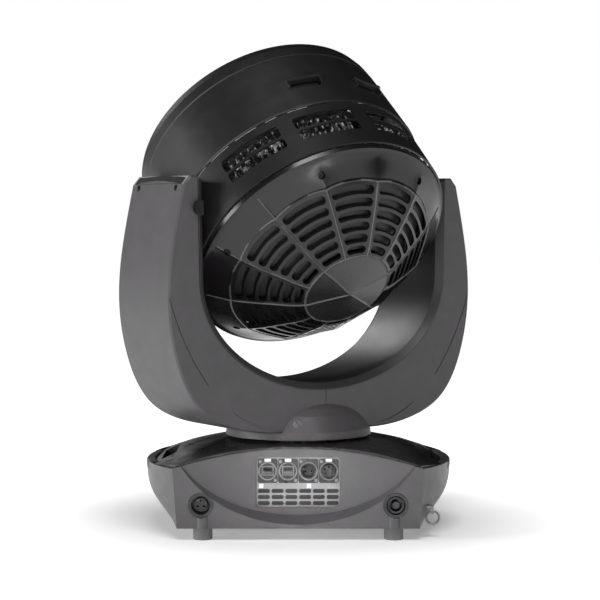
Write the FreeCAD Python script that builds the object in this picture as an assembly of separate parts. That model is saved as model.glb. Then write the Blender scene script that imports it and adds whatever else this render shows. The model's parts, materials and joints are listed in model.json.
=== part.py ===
import FreeCAD, Part
import math
import os

V = FreeCAD.Vector

# ------------------------------------------------------------------ driving dimensions (mm, degrees)
# Heights in this file are measured from the floor. The part's origin is on the pan axis, on the
# underside of the base, in the middle of the clamp sockets; save() moves every piece down to it.

# Rest pose of the two main axes
PAN_REST = 33.1              # yoke turned about +Z from square with the base
TILT_REST = 47.65            # head tipped back from pointing straight up
TILT_Z = 422.0               # height of the tilt axis above the floor

# Gaps
PART_GAP = 0.3               # between pieces that only sit beside each other
SEAM_GAP = 0.6               # visible joint lines between covers
RUN_GAP = 0.05               # radial clearance of a shaft in its bearing

# Base
BASE_FLOOR = 15.4            # underside of the base, on top of the feet
BASE_HALF_DEPTH = 147.0
BASE_WALL = 3.0
# height, half width at mid depth, half width of the front face
BASE_SECTIONS = [
    (BASE_FLOOR, 165.0, 154.0),
    (32.0, 182.0, 155.2),
    (48.8, 194.5, 156.5),
    (64.5, 200.0, 157.6),
    (80.0, 201.6, 158.8),
    (90.0, 202.0, 159.5),
    (118.0, 202.0, 159.5),
]
RIM_END_Z = 89.0             # rim height at the ends
RIM_CORNER_Z = 91.5          # rim height at the front corners
RIM_MID_Z = 114.4            # top of the arched rim
SCOOP_DEPTH = 22.0
SCOOP_HALF_WIDTH = 164.0
SCOOP_HALF_HEIGHT = 129.0
SCOOP_Z = 150.0
SCOOP_BEVEL = 6.0
FOOT_X = 121.6
FOOT_Y = 133.0
FOOT_R = 12.3
CLAMP_X = 80.0               # clamp bracket sockets under the base
CLAMP_Y = 53.0
CLAMP_R = 5.5
COVER_INSET = 4.2            # base cover inside the rim
COVER_THICK = 3.0
CROWN_X = (0.0, 80.0, 131.0, 155.0, 180.0, 200.0)
CROWN_MID_Z = (118.5, 118.0, 111.5, 104.5, 92.0, 83.0)
CROWN_END_Z = (115.2, 109.6, 99.5, 93.8, 88.5, 84.0)
GRIP_HALF_LENGTH = 60.0
GRIP_WIDTH = 12.5
GRIP_Z = 82.0
POCKET_HALF_LENGTH = 50.0
POCKET_IN_X = 160.0
POCKET_OUT_X = 180.0
POCKET_Z = 62.0
POCKET_WALL = 2.5

# Connector plate (front) and control panel (back)
PANEL_HALF_WIDTH = 53.5
PANEL_LOW_Z = 40.0
PANEL_TOP_Z = 103.7
PANEL_FRONT_Y = 123.0
PANEL_THICK = 2.0
SOCKET_PITCH = 26.0
SOCKET_Z = 86.2
SOCKET_R = 12.0
FLANGE_HALF_WIDTH = 12.8
FLANGE_HALF_HEIGHT = 15.5
FLANGE_THICK = 1.6
TAB_Z = 100.2
TAB_HALF_WIDTH = 4.0
TAB_HALF_HEIGHT = 1.8
POWER_X = 123.8
POWER_Z = 45.0
POWER_R = 15.7
BUTTON_R = 4.5
BUTTON_GAP = 13.0
BUTTON_X = 30.0
BUTTON_MID_Z = 72.0

# Pan drive
PAN_SHAFT_R = 30.0
PAN_PULLEY_R = 52.0
PAN_MOTOR_R = 10.0
PAN_MOTOR_X = 95.0
PAN_BELT_Z = (94.0, 106.0)
HUMP_R = 97.0
YOKE_FLOOR = 131.0

# Yoke
ARM_TOP_Z = 462.0
ARM_HALF_DEPTH = 66.7
FRAME_HALF_DEPTH = 68.0
COVER_WALL = 3.0
EDGE_BEVEL = 2.2             # front and back edges of the yoke covers
BOWL_Z = 331.0               # centre of the bowl between the arms
BOWL_HALF_WIDTH = 182.0
BOWL_DEPTH = 137.8
BOWL_TOP_HALF_WIDTH = 184.5
LIP_WIDTH = 9.0
SHAFT_R = 12.0
SHAFT_BORE_R = 8.0
BEARING_R = 20.0
TILT_PULLEY_R = 26.0
TILT_MOTOR_R = 8.0
TILT_MOTOR_Z = 240.0
TILT_BELT_X = (200.0, 209.0)
ARM_SCREW_Y = 48.0
ARM_SCREW_Z = 447.0
TILT_LOCK_X = 191.5

# Head, upright: Z along the light beam, X along the tilt axis
BEZEL_FRONT_Z = 134.5
BEZEL_BACK_Z = 104.0
BARREL_BACK_Z = 5.0
BAND_BACK_Z = -72.5
BEZEL_R = 176.8
BARREL_R = 180.4
BAND_R = 178.0
SKIN = 2.5
WINDOW_AZIMUTHS = (36.5, 70.5, 104.5, 138.5, 221.5, 255.5, 289.5, 323.5)
WINDOW_ROWS = ((-27.0, -8.0), (-47.0, -31.0))
WINDOW_WIDTH = 84.0
HOOD_AZIMUTHS = (72.0, 104.5, 255.5, 288.0)
HOOD_LEDGE = (50.0, 54.0)    # small hoods on the barrel, each over a hole
HOOD_POCKET_Z = 39.0
HOOD_HALF_WIDTH = 24.0
HOOD_R = 184.4
HOOD_END_R = 182.6
SEAM_BEVEL = 1.4             # bevels that make a groove between bezel and barrel
CAP_EDGE = (174.6, -73.2)    # radius, height where the cap begins
CAP_PROFILE = [
    (173.4, -79.0),
    (164.5, -84.5),
    (137.3, -109.0),
    (100.0, -133.5),
    (58.6, -155.9),
    (0.0, -165.0),
]
CAP_THICK = 3.0
CAP_TURN = -3.0              # the cap's pattern of ribs and screws, against the tilt axis
RIB_COUNT = 12
RIB_WIDTH = 8.0
SLOT_ROWS = 6
SLOT_IN_R = 60.0
SLOT_OUT_R = 137.0
SLOT_WIDTH = 8.0
CAP_SCREWS = 6
CAP_SCREW_R = 155.0
CAP_SCREW_Z = -92.5
LED_PITCH = 42.0
LENS_R = 20.0
ZOOM_SCREW_RING = 150.0
ZOOM_SCREW_R = 2.5
ZOOM_AZIMUTHS = (90, 270)


# ------------------------------------------------------------------ shape helpers
def box(x0, x1, y0, y1, z0, z1):
    return Part.makeBox(x1 - x0, y1 - y0, z1 - z0, V(x0, y0, z0))


def rod(radius, start, end):
    """Round bar between two points."""
    axis = V(*end) - V(*start)
    return Part.makeCylinder(radius, axis.Length, V(*start), axis)


def tube(outer, inner, start, end):
    return rod(outer, start, end).cut(rod(inner, start, end))


def lathe(profile):
    """Solid turned about Z from (radius, height) corners."""
    corners = [V(radius, 0, height) for radius, height in profile]
    return Part.Face(Part.makePolygon(corners + corners[:1])).revolve(V(0, 0, 0), V(0, 0, 1), 360)


def curve_edge(points):
    curve = Part.BSplineCurve()
    curve.interpolate(points)
    return curve.toShape()


def bowl_edge(half_width, depth):
    """Lower half of the ellipse between the arms, from +X round the bottom to -X."""
    centre = V(0, 0, BOWL_Z)
    ellipse = Part.Ellipse(V(half_width, 0, BOWL_Z), V(0, 0, BOWL_Z - depth), centre)
    return Part.ArcOfEllipse(ellipse, 0, math.pi).toShape()


def line(start, end):
    return Part.LineSegment(start, end).toShape()


def chain(points):
    return [line(a, b) for a, b in zip(points, points[1:])]


def slab_y(wire, y0, y1):
    """Prism along Y from a wire that lies in the XZ plane."""
    face = Part.Face(wire)
    face.translate(V(0, y0, 0))
    return face.extrude(V(0, y1 - y0, 0))


def fuse_all(shapes):
    return shapes[0].multiFuse(shapes[1:]).removeSplitter()


def mirror_x(shape):
    return shape.mirror(V(0, 0, 0), V(1, 0, 0))


def mirror_y(shape):
    return shape.mirror(V(0, 0, 0), V(0, 1, 0))


def turned(shape, azimuth):
    """Copy turned about Z, counted from +X towards -Y."""
    copy = shape.copy()
    copy.rotate(V(0, 0, 0), V(0, 0, 1), -azimuth)
    return copy


def belt(centre_a, radius_a, centre_b, radius_b, thickness):
    """Flat belt loop in the XY plane round two pulleys, as a face."""

    def loop(grow):
        ra = radius_a + grow
        rb = radius_b + grow
        a = V(*centre_a, 0)
        b = V(*centre_b, 0)
        along = (b - a).normalize()
        side = V(-along.y, along.x, 0)
        cos_t = (ra - rb) / (b - a).Length
        sin_t = math.sqrt(1 - cos_t * cos_t)
        up = along * cos_t + side * sin_t
        down = along * cos_t - side * sin_t
        edges = [
            line(a + up * ra, b + up * rb),
            Part.Arc(b + up * rb, b + along * rb, b + down * rb).toShape(),
            line(b + down * rb, a + down * ra),
            Part.Arc(a + down * ra, a - along * ra, a + up * ra).toShape(),
        ]
        return Part.Face(Part.Wire(edges))

    return loop(PART_GAP + thickness).cut(loop(PART_GAP))


# ------------------------------------------------------------------ placing and saving
def place_yoke(shape):
    """From the square yoke to its rest pose."""
    copy = shape.copy()
    copy.rotate(V(0, 0, 0), V(0, 0, 1), PAN_REST)
    return copy


def place_head(shape):
    """From the upright head, centred on the tilt axis, to its rest pose."""
    copy = shape.copy()
    copy.rotate(V(0, 0, 0), V(1, 0, 0), -TILT_REST)
    copy.translate(V(0, 0, TILT_Z))
    return place_yoke(copy)


def save(name, shape, place=None):
    """One STEP per node, moved to the part's origin; a group of pieces becomes one compound."""
    solids = shape.Solids
    if place:
        solids = [place(solid) for solid in solids]
    for solid in solids:
        solid.translate(V(0, 0, -BASE_FLOOR))
    result = solids[0] if len(solids) == 1 else Part.makeCompound(solids)
    if not result.isValid():
        print("NOT VALID", name)
    print(name, len(solids), round(sum(solid.Volume for solid in solids) / 1000, 1), "cm3")
    result.exportStep("parts/" + name + ".step")


def group(shapes):
    return Part.makeCompound(shapes)


# ------------------------------------------------------------------ base: shell and covers
def base_plan(height, half_side, half_front, half_depth):
    """Plan outline at one height: straight front and back, bowed ends."""
    front_left = V(-half_front, -half_depth, height)
    front_right = V(half_front, -half_depth, height)
    back_right = V(half_front, half_depth, height)
    back_left = V(-half_front, half_depth, height)
    edges = [
        line(front_left, front_right),
        Part.Arc(front_right, V(half_side, 0, height), back_right).toShape(),
        line(back_right, back_left),
        Part.Arc(back_left, V(-half_side, 0, height), front_left).toShape(),
    ]
    return Part.Wire(edges)


def rim_prism(inset, z0, z1):
    """Upright prism of the rim outline, moved inwards by the inset."""
    half_side, half_front = BASE_SECTIONS[-1][1:]
    wire = base_plan(z0, half_side - inset, half_front - inset, BASE_HALF_DEPTH - inset)
    return Part.Face(wire).extrude(V(0, 0, z1 - z0))


def scoop_drum(grow):
    """Upright drum whose back wall is the hollow of the front face."""
    radius = (BASE_SECTIONS[-1][2] ** 2 + SCOOP_DEPTH ** 2) / (2 * SCOOP_DEPTH)
    centre_y = -BASE_HALF_DEPTH + SCOOP_DEPTH + grow - radius
    return rod(radius, (0, centre_y, 0), (0, centre_y, 200))


def scoop(grow):
    """Tool for the hollow: the drum, limited by an oval with sloping sides."""
    rims = []
    for y, shrink in ((-BASE_HALF_DEPTH - 1, -1), (-BASE_HALF_DEPTH + SCOOP_DEPTH + 6, SCOOP_BEVEL + 5)):
        half_width = SCOOP_HALF_WIDTH + grow - shrink
        half_height = SCOOP_HALF_HEIGHT + grow - shrink
        centre = V(0, y, SCOOP_Z)
        oval = Part.Ellipse(V(half_width, y, SCOOP_Z), V(0, y, SCOOP_Z + half_height), centre)
        rims.append(Part.Wire([oval.toShape()]))
    return Part.makeLoft(rims, True, True).common(scoop_drum(grow))


def both_faces(shape):
    """The shape on the front face and again on the back face."""
    back = shape.copy()
    back.rotate(V(0, 0, 0), V(0, 0, 1), 180)
    return [shape, back]


def end_strips(inset, half_length, z0, z1):
    """Strips along both bowed ends, from well outside the rim to the inset."""
    strips = rim_prism(-8.0, z0, z1).cut(rim_prism(inset, z0 - 1, z1 + 1))
    return strips.common(box(-300, 300, -half_length, half_length, z0, z1))


def above_rim():
    """Everything above the arched rim."""
    corner = BASE_SECTIONS[-1][2]
    rim = [
        line(V(-230, 0, RIM_END_Z), V(-corner, 0, RIM_CORNER_Z)),
        Part.Arc(V(-corner, 0, RIM_CORNER_Z), V(0, 0, RIM_MID_Z), V(corner, 0, RIM_CORNER_Z)).toShape(),
        line(V(corner, 0, RIM_CORNER_Z), V(230, 0, RIM_END_Z)),
    ]
    top = chain([V(230, 0, RIM_END_Z), V(230, 0, 150), V(-230, 0, 150), V(-230, 0, RIM_END_Z)])
    return slab_y(Part.Wire(rim + top), -200, 200)


def panel_opening(clearance):
    """Rounded rectangular opening for the connector plate."""
    width = PANEL_HALF_WIDTH + clearance
    opening = box(-width, width, -170, -105, PANEL_LOW_Z - clearance, PANEL_TOP_Z + clearance)
    corners = [edge for edge in opening.Edges if abs(edge.tangentAt(edge.FirstParameter).y) > 0.9]
    return opening.makeFillet(4.0, corners)


def make_base_shell():
    outer_wires = [base_plan(z, side, front, BASE_HALF_DEPTH) for z, side, front in BASE_SECTIONS]
    outer = Part.makeLoft(outer_wires, True, False)
    below = (BASE_FLOOR - 2,) + BASE_SECTIONS[0][1:]
    above = (BASE_SECTIONS[-1][0] + 3,) + BASE_SECTIONS[-1][1:]
    inner_sections = [below] + BASE_SECTIONS + [above]
    inner_wires = []
    for z, side, front in inner_sections:
        inner_wires.append(base_plan(z, side - BASE_WALL, front - BASE_WALL, BASE_HALF_DEPTH - BASE_WALL))
    inner = Part.makeLoft(inner_wires, True, True)
    for tool in both_faces(scoop(BASE_WALL)):
        inner = inner.cut(tool)
    shell = outer.cut(inner)
    posts = []
    for side in (-1, 1):
        post = rod(8.0, (side * FOOT_X, -143.5, BASE_FLOOR), (side * FOOT_X, -143.5, 35.0))
        posts += both_faces(post.common(box(-200, 200, -200, -143.5, 0, 200)))
    shell = fuse_all([shell] + posts)
    for tool in both_faces(scoop(0)) + both_faces(panel_opening(0)):
        shell = shell.cut(tool)
    shell = shell.cut(above_rim()).cut(lug_arm(0.1))
    grip_room = GRIP_HALF_LENGTH + PART_GAP
    shell = shell.cut(box(-300, 300, -grip_room, grip_room, GRIP_Z - PART_GAP, 150))
    for x in (-POWER_X, POWER_X):
        shell = shell.cut(rod(POWER_R + PART_GAP, (x, -170, POWER_Z), (x, -130, POWER_Z)))
    return shell


def crown_section(y, heights, drop):
    """Cross-section of the base cover at one depth."""
    right = list(zip(CROWN_X, heights))
    left = [(-x, z) for x, z in reversed(right[1:])]
    points = [V(x, y, z - drop) for x, z in left + right]
    low = 60.0
    first, last = points[0], points[-1]
    return Part.Wire([curve_edge(points)] + chain([last, V(last.x, y, low), V(first.x, y, low), first]))


def crown(drop):
    sections = [(-150.0, CROWN_END_Z), (0.0, CROWN_MID_Z), (150.0, CROWN_END_Z)]
    return Part.makeLoft([crown_section(y, heights, drop) for y, heights in sections], True, False)


def make_base_top_cover():
    top = crown(0)
    plate = top.common(rim_prism(COVER_INSET, 84.0, 125.0))
    hollow = crown(COVER_THICK).common(rim_prism(COVER_INSET + COVER_THICK, 70.0, 125.0))
    for tool in both_faces(scoop_drum(BASE_WALL + 2 * PART_GAP + COVER_THICK)):
        hollow = hollow.cut(tool)
    cover = plate.cut(hollow)
    for tool in both_faces(scoop_drum(BASE_WALL + 2 * PART_GAP)):
        cover = cover.cut(tool)
    cover = cover.cut(end_strips(GRIP_WIDTH + 2 * PART_GAP, GRIP_HALF_LENGTH + 2 * PART_GAP, 60.0, 130.0))
    panel_room = PANEL_HALF_WIDTH + 2.5
    for tool in both_faces(box(-panel_room, panel_room, -170, -90, 60, PANEL_TOP_Z + 1.8)):
        cover = cover.cut(tool)
    half = POCKET_HALF_LENGTH
    wall = POCKET_WALL
    for side in (-1, 1):
        walls = box(POCKET_IN_X - wall, POCKET_OUT_X + wall, -half - wall, half + wall, POCKET_Z - wall, 125)
        hole = box(POCKET_IN_X, POCKET_OUT_X, -half, half, POCKET_Z, 130)
        if side < 0:
            walls = mirror_x(walls)
            hole = mirror_x(hole)
        cover = cover.fuse(walls.common(top)).cut(hole)
    return cover.cut(rod(60.0, (0, 0, 60), (0, 0, 130))).removeSplitter()


def make_carry_grips():
    strips = end_strips(GRIP_WIDTH, GRIP_HALF_LENGTH, GRIP_Z, RIM_END_Z + 1.5).common(rim_prism(0, 0, 200))
    grips = []
    for solid in strips.Solids:
        top_edges = [e for e in solid.Edges if e.BoundBox.ZMin > RIM_END_Z + 1.4 and e.Length > 50]
        grips.append(solid.makeFillet(2.5, top_edges))
    return group(grips)


def make_base_bottom_plate():
    side, front = BASE_SECTIONS[0][1:]
    wire = base_plan(BASE_FLOOR, side - 4, front - 4, BASE_HALF_DEPTH - 4)
    plate = Part.Face(wire).extrude(V(0, 0, 4))
    for x in (-CLAMP_X, CLAMP_X):
        for y in (-CLAMP_Y, CLAMP_Y):
            plate = plate.cut(rod(CLAMP_R, (x, y, 0), (x, y, 30)))
    return plate


def make_rubber_feet():
    feet = []
    for x in (-FOOT_X, FOOT_X):
        for y in (-FOOT_Y, FOOT_Y):
            foot = rod(FOOT_R, (x, y, 0), (x, y, BASE_FLOOR))
            feet.append(foot.makeFillet(1.5, [e for e in foot.Edges if e.BoundBox.ZMax < 1]))
    return group(feet)


# ------------------------------------------------------------------ base: connectors
def socket_x(index):
    return (index - 1.5) * SOCKET_PITCH


def flange(x):
    """Square flange with a round barrel that passes back through the plate."""
    front = -PANEL_FRONT_Y - FLANGE_THICK
    plate = box(x - FLANGE_HALF_WIDTH, x + FLANGE_HALF_WIDTH, front, -PANEL_FRONT_Y,
                SOCKET_Z - FLANGE_HALF_HEIGHT, SOCKET_Z + FLANGE_HALF_HEIGHT)
    edges = [edge for edge in plate.Edges if abs(edge.tangentAt(edge.FirstParameter).y) > 0.9]
    plate = plate.makeFillet(3.0, edges)
    barrel = rod(SOCKET_R - PART_GAP, (x, front - 1.4, SOCKET_Z), (x, -PANEL_FRONT_Y + 24, SOCKET_Z))
    return plate.fuse(barrel)


def flange_screw_places(x):
    return [(x - 9.6, SOCKET_Z + 12.0), (x + 9.6, SOCKET_Z - 12.0)]


def tab_slot(x, clearance):
    """Slot that a release tab slides in."""
    width = TAB_HALF_WIDTH + clearance
    height = TAB_HALF_HEIGHT + clearance
    return box(x - width, x + width, -150, -110, TAB_Z - height, TAB_Z + height)


def panel_sheet():
    """Plain sheet that fits the panel opening in the front face."""
    layer = box(-100, 100, -PANEL_FRONT_Y, -PANEL_FRONT_Y + PANEL_THICK, 0, 200)
    return panel_opening(-PART_GAP).common(layer)


def make_connector_plate():
    plate = panel_sheet()
    for index in range(4):
        x = socket_x(index)
        plate = plate.cut(rod(SOCKET_R, (x, -150, SOCKET_Z), (x, -100, SOCKET_Z)))
        if index != 2:
            plate = plate.cut(tab_slot(x, PART_GAP))
        for sx, sz in flange_screw_places(x):
            plate = plate.cut(rod(1.3, (sx, -150, sz), (sx, -100, sz)))
    for row in range(3):
        for column in range(6):
            x = (column - 2.5) * 17.6
            z = 44.6 + 7.8 * row
            slot = box(x - 7.7, x + 7.7, -150, -110, z - 2.8, z + 2.8)
            edges = [edge for edge in slot.Edges if abs(edge.tangentAt(edge.FirstParameter).y) > 0.9]
            plate = plate.cut(slot.makeFillet(2.4, edges))
    return plate


def make_data_sockets():
    sockets = []
    for index in (0, 1):
        x = socket_x(index)
        socket = flange(x).cut(box(x - 6.2, x + 6.2, -140, -108, SOCKET_Z - 4.5, SOCKET_Z + 5.0))
        sockets.append(drilled_flange(socket.cut(tab_slot(x, PART_GAP)), x))
    return group(sockets)


def drilled_flange(socket, x):
    for sx, sz in flange_screw_places(x):
        socket = socket.cut(rod(1.3, (sx, -150, sz), (sx, -100, sz)))
    return socket


def pin_circle(count, radius, gap_angle):
    """Contact places on an arc that is open at the bottom."""
    step = (360 - gap_angle) / (count - 1)
    start = -90 + gap_angle / 2
    angles = [math.radians(start + step * i) for i in range(count)]
    return [(radius * math.cos(a), radius * math.sin(a)) for a in angles]


def make_signal_inlet():
    """Open cup with five pins standing on its floor."""
    x = socket_x(2)
    cup = flange(x).cut(rod(9.2, (x, -150, SOCKET_Z), (x, -108, SOCKET_Z)))
    pins = []
    for dx, dz in pin_circle(5, 5.2, 100):
        pins.append(rod(1.2, (x + dx, -107, SOCKET_Z + dz), (x + dx, -121, SOCKET_Z + dz)))
    return drilled_flange(fuse_all([cup] + pins), x)


def make_signal_outlet():
    """Insert with five contact holes in a ring groove."""
    x = socket_x(3)
    socket = flange(x).cut(tube(10.0, 8.0, (x, -150, SOCKET_Z), (x, -110, SOCKET_Z)))
    for dx, dz in pin_circle(5, 5.2, 100):
        socket = socket.cut(rod(1.2, (x + dx, -150, SOCKET_Z + dz), (x + dx, -112, SOCKET_Z + dz)))
    return drilled_flange(socket.cut(tab_slot(x, PART_GAP)), x)


def make_connector_screws():
    screws = []
    front = -PANEL_FRONT_Y - FLANGE_THICK
    for index in range(4):
        for sx, sz in flange_screw_places(socket_x(index)):
            head = rod(2.1, (sx, front - 1.1, sz), (sx, front, sz))
            screws.append(head.fuse(rod(1.25, (sx, front, sz), (sx, front + 8, sz))))
    return group(screws)


def make_release_tab(index):
    x = socket_x(index)
    return box(x - TAB_HALF_WIDTH, x + TAB_HALF_WIDTH, -PANEL_FRONT_Y - 4.0, -PANEL_FRONT_Y + 5.0,
               TAB_Z - TAB_HALF_HEIGHT, TAB_Z + TAB_HALF_HEIGHT)


def power_body(x):
    """Round flanged housing, open at the front."""
    front = -BASE_HALF_DEPTH - 1.0
    body = rod(POWER_R, (x, front, POWER_Z), (x, -112, POWER_Z))
    return body.cut(rod(12.0, (x, front - 5, POWER_Z), (x, -120, POWER_Z)))


def make_power_inlet():
    """Recessed round core with three contact slots, for a twist-lock plug."""
    x = -POWER_X
    core = rod(8.0, (x, -137, POWER_Z), (x, -119, POWER_Z))
    for turn in (90, 210, 330):
        dx = 4.6 * math.cos(math.radians(turn))
        dz = 4.6 * math.sin(math.radians(turn))
        core = core.cut(rod(1.4, (x + dx, -150, POWER_Z + dz), (x + dx, -124, POWER_Z + dz)))
    return power_body(x).fuse(core)


def make_power_outlet():
    """Two concentric rings round a central core."""
    x = POWER_X
    ring = tube(10.4, 8.0, (x, -145, POWER_Z), (x, -119, POWER_Z))
    core = rod(4.5, (x, -144, POWER_Z), (x, -119, POWER_Z))
    return power_body(x).fuse(ring).fuse(core)


def lug_arm(clearance):
    return box(156.0, 173.0, -129.0 - clearance, -121.0 + clearance, 39.0 - clearance, 42.0 + clearance)


def make_safety_lug():
    """Bent bracket whose outer plate has the hole for the ring."""
    plate = box(170.5, 173.0, -129, -121, 31, 42)
    lug = lug_arm(0).fuse(plate)
    return lug.cut(rod(2.6, (160, -125, 35), (180, -125, 35))).removeSplitter()


def make_safety_ring():
    return Part.makeTorus(8.1, 1.3, V(171.75, -125, 26.2), V(0, 1, 0))


# ------------------------------------------------------------------ base: control panel on the back
def button_places():
    x = BUTTON_X
    z = BUTTON_MID_Z
    return {
        "menu_button_up": (x, z + BUTTON_GAP),
        "menu_button_down": (x, z - BUTTON_GAP),
        "menu_button_enter": (x, z),
    }


def make_control_panel():
    panel = panel_sheet()
    panel.rotate(V(0, 0, 0), V(0, 0, 1), 180)
    panel = panel.cut(box(-47, 11, 110, 140, 54, 90))
    for x, z in button_places().values():
        panel = panel.cut(rod(BUTTON_R + PART_GAP, (x, 110, z), (x, 140, z)))
    return panel


def make_display_window():
    pane = box(-46.8, 10.8, PANEL_FRONT_Y - PANEL_THICK, PANEL_FRONT_Y + 0.6, 54.2, 89.8)
    return pane


def make_menu_button(x, z):
    button = rod(BUTTON_R, (x, PANEL_FRONT_Y - 5, z), (x, PANEL_FRONT_Y + 2.2, z))
    return button.makeFillet(0.8, [e for e in button.Edges if e.BoundBox.YMin > PANEL_FRONT_Y + 2])


# ------------------------------------------------------------------ base: inner parts
def make_power_supply():
    case = box(-150, -60, -75, 75, 22, 70)
    return case.cut(box(-148, -62, -76, 73, 24, 68))


def make_pan_bearing_housing():
    foot = rod(48.0, (0, 0, BASE_FLOOR + 4), (0, 0, 24))
    column = rod(46.0, (0, 0, 24), (0, 0, 88))
    return foot.fuse(column).cut(rod(38.0, (0, 0, 0), (0, 0, 100))).removeSplitter()


def make_pan_bearings():
    rings = []
    for z in (30.0, 74.0):
        rings.append(tube(38.0, PAN_SHAFT_R + RUN_GAP, (0, 0, z), (0, 0, z + 12)))
    return group(rings)


def make_pan_motor():
    """Square stepper motor under a bracket that stands on the bearing housing."""
    x = PAN_MOTOR_X
    motor = box(x - 21, x + 21, -21, 21, 46, 88)
    bracket = box(38, x + 24, -22, 22, 88, 91).cut(rod(38.0, (0, 0, 80), (0, 0, 100)))
    shaft = rod(2.5, (x, 0, 88), (x, 0, 108))
    return fuse_all([motor, bracket, shaft])


def make_pan_motor_pulley():
    x = PAN_MOTOR_X
    return tube(PAN_MOTOR_R, 2.5 + RUN_GAP, (x, 0, PAN_BELT_Z[0]), (x, 0, PAN_BELT_Z[1]))


def make_pan_belt():
    loop = belt((0, 0), PAN_PULLEY_R, (PAN_MOTOR_X, 0), PAN_MOTOR_R, 1.6)
    loop.translate(V(0, 0, PAN_BELT_Z[0] + 1))
    return loop.extrude(V(0, 0, PAN_BELT_Z[1] - PAN_BELT_Z[0] - 2))


# ------------------------------------------------------------------ yoke
def yoke_outline(inset):
    """Outside of the yoke seen along Y, moved inwards by the inset."""
    half = [(205 - inset, ARM_TOP_Z - inset), (214 - inset, 451.0)]
    bow = [(214, 451), (229, 378), (235.6, 310), (225.5, 236), (187, 165), (135, 139.4), (72, YOKE_FLOOR)]
    centre = V(0, 0, 300)
    right = []
    for x, z in bow:
        point = V(x, 0, z)
        inward = (centre - point).normalize() * inset
        right.append(V(x - inset, 0, z) if z > 240 else point + inward)
    right[0] = V(half[1][0], 0, half[1][1])
    right[-1] = V(bow[-1][0], 0, YOKE_FLOOR + inset)
    left = [V(-p.x, 0, p.z) for p in right]
    top_right = V(half[0][0], 0, half[0][1])
    top_left = V(-top_right.x, 0, top_right.z)
    top = [line(top_left, top_right), line(top_right, right[0])]
    sides = [curve_edge(right), line(right[-1], left[-1]), curve_edge(left[::-1])]
    return Part.Wire(top + sides + [line(left[0], top_left)])


def bowl_opening(grow):
    """Wire of the space between the arms, widened by the given amount."""
    half = BOWL_HALF_WIDTH + grow
    top = BOWL_TOP_HALF_WIDTH + grow
    walls_left = chain([V(-half, 0, BOWL_Z), V(-top, 0, ARM_TOP_Z), V(-top, 0, 480)])
    walls_right = chain([V(top, 0, 480), V(top, 0, ARM_TOP_Z), V(half, 0, BOWL_Z)])
    across = [line(V(-top, 0, 480), V(top, 0, 480))]
    return Part.Wire([bowl_edge(half, BOWL_DEPTH + grow)] + walls_left + across + walls_right)


def bowl_bevel(inner_y, outer_y):
    """Cone-like tool that bevels the bowl's edge into the lip."""
    inner = bowl_opening(0)
    inner.translate(V(0, inner_y, 0))
    outer = bowl_opening(LIP_WIDTH - 1)
    outer.translate(V(0, outer_y, 0))
    return Part.makeLoft([inner, outer], True, True)


def make_yoke_frame():
    """U-shaped channel with a bevelled lip, bearing bosses and the pan hub."""
    depth = FRAME_HALF_DEPTH
    band = slab_y(bowl_opening(LIP_WIDTH), -depth, depth).cut(slab_y(bowl_opening(0), -depth - 1, depth + 1))
    band = band.common(box(-300, 300, -100, 100, 0, ARM_TOP_Z - 4))
    channel = slab_y(bowl_opening(LIP_WIDTH + 1), -depth + 10, depth - 10)
    channel = channel.cut(slab_y(bowl_opening(COVER_WALL), -depth, depth))
    band = band.cut(channel)
    hub = rod(56.0, (0, 0, YOKE_FLOOR + 0.2), (0, 0, 200)).cut(slab_y(bowl_opening(1), -80, 80))
    band = band.fuse(hub)
    for side in (-1, 1):
        x0 = side * (BOWL_TOP_HALF_WIDTH + 1)
        band = band.fuse(rod(28.0, (x0, 0, TILT_Z), (side * 197.5, 0, TILT_Z)))
    band = band.cut(slab_y(bowl_opening(0), -depth - 1, depth + 1))
    for side in (-1, 1):
        wall = side * (BOWL_TOP_HALF_WIDTH + COVER_WALL)
        band = band.cut(rod(BEARING_R, (wall, 0, TILT_Z), (side * 210, 0, TILT_Z)))
        band = band.cut(rod(SHAFT_R + 1.5, (side * 170, 0, TILT_Z), (side * 210, 0, TILT_Z)))
    band = band.cut(bowl_bevel(-depth + 8, -depth - 0.01))
    band = band.cut(bowl_bevel(depth - 16, depth + 0.01))
    band = band.cut(rod(22.0, (0, 0, 100), (0, 0, 184)))
    return band.cut(lock_stem_hole()).removeSplitter()


def lock_stem_hole():
    return rod(3.0 + PART_GAP, (-TILT_LOCK_X, -80, TILT_Z), (-TILT_LOCK_X, -45, TILT_Z))


def groove(start, middle, end, width, depth):
    """Curved joint line cut into the front of the left cover."""
    offset = V(width, 0, width * 0.3)
    points = [V(p[0], 0, p[1]) for p in (start, middle, end)]
    moved = [p + offset for p in points]
    edges = [
        Part.Arc(*points).toShape(),
        line(points[2], moved[2]),
        Part.Arc(*moved[::-1]).toShape(),
        line(moved[0], points[0]),
    ]
    return slab_y(Part.Wire(edges), -ARM_HALF_DEPTH - 1, -ARM_HALF_DEPTH + depth)


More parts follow.
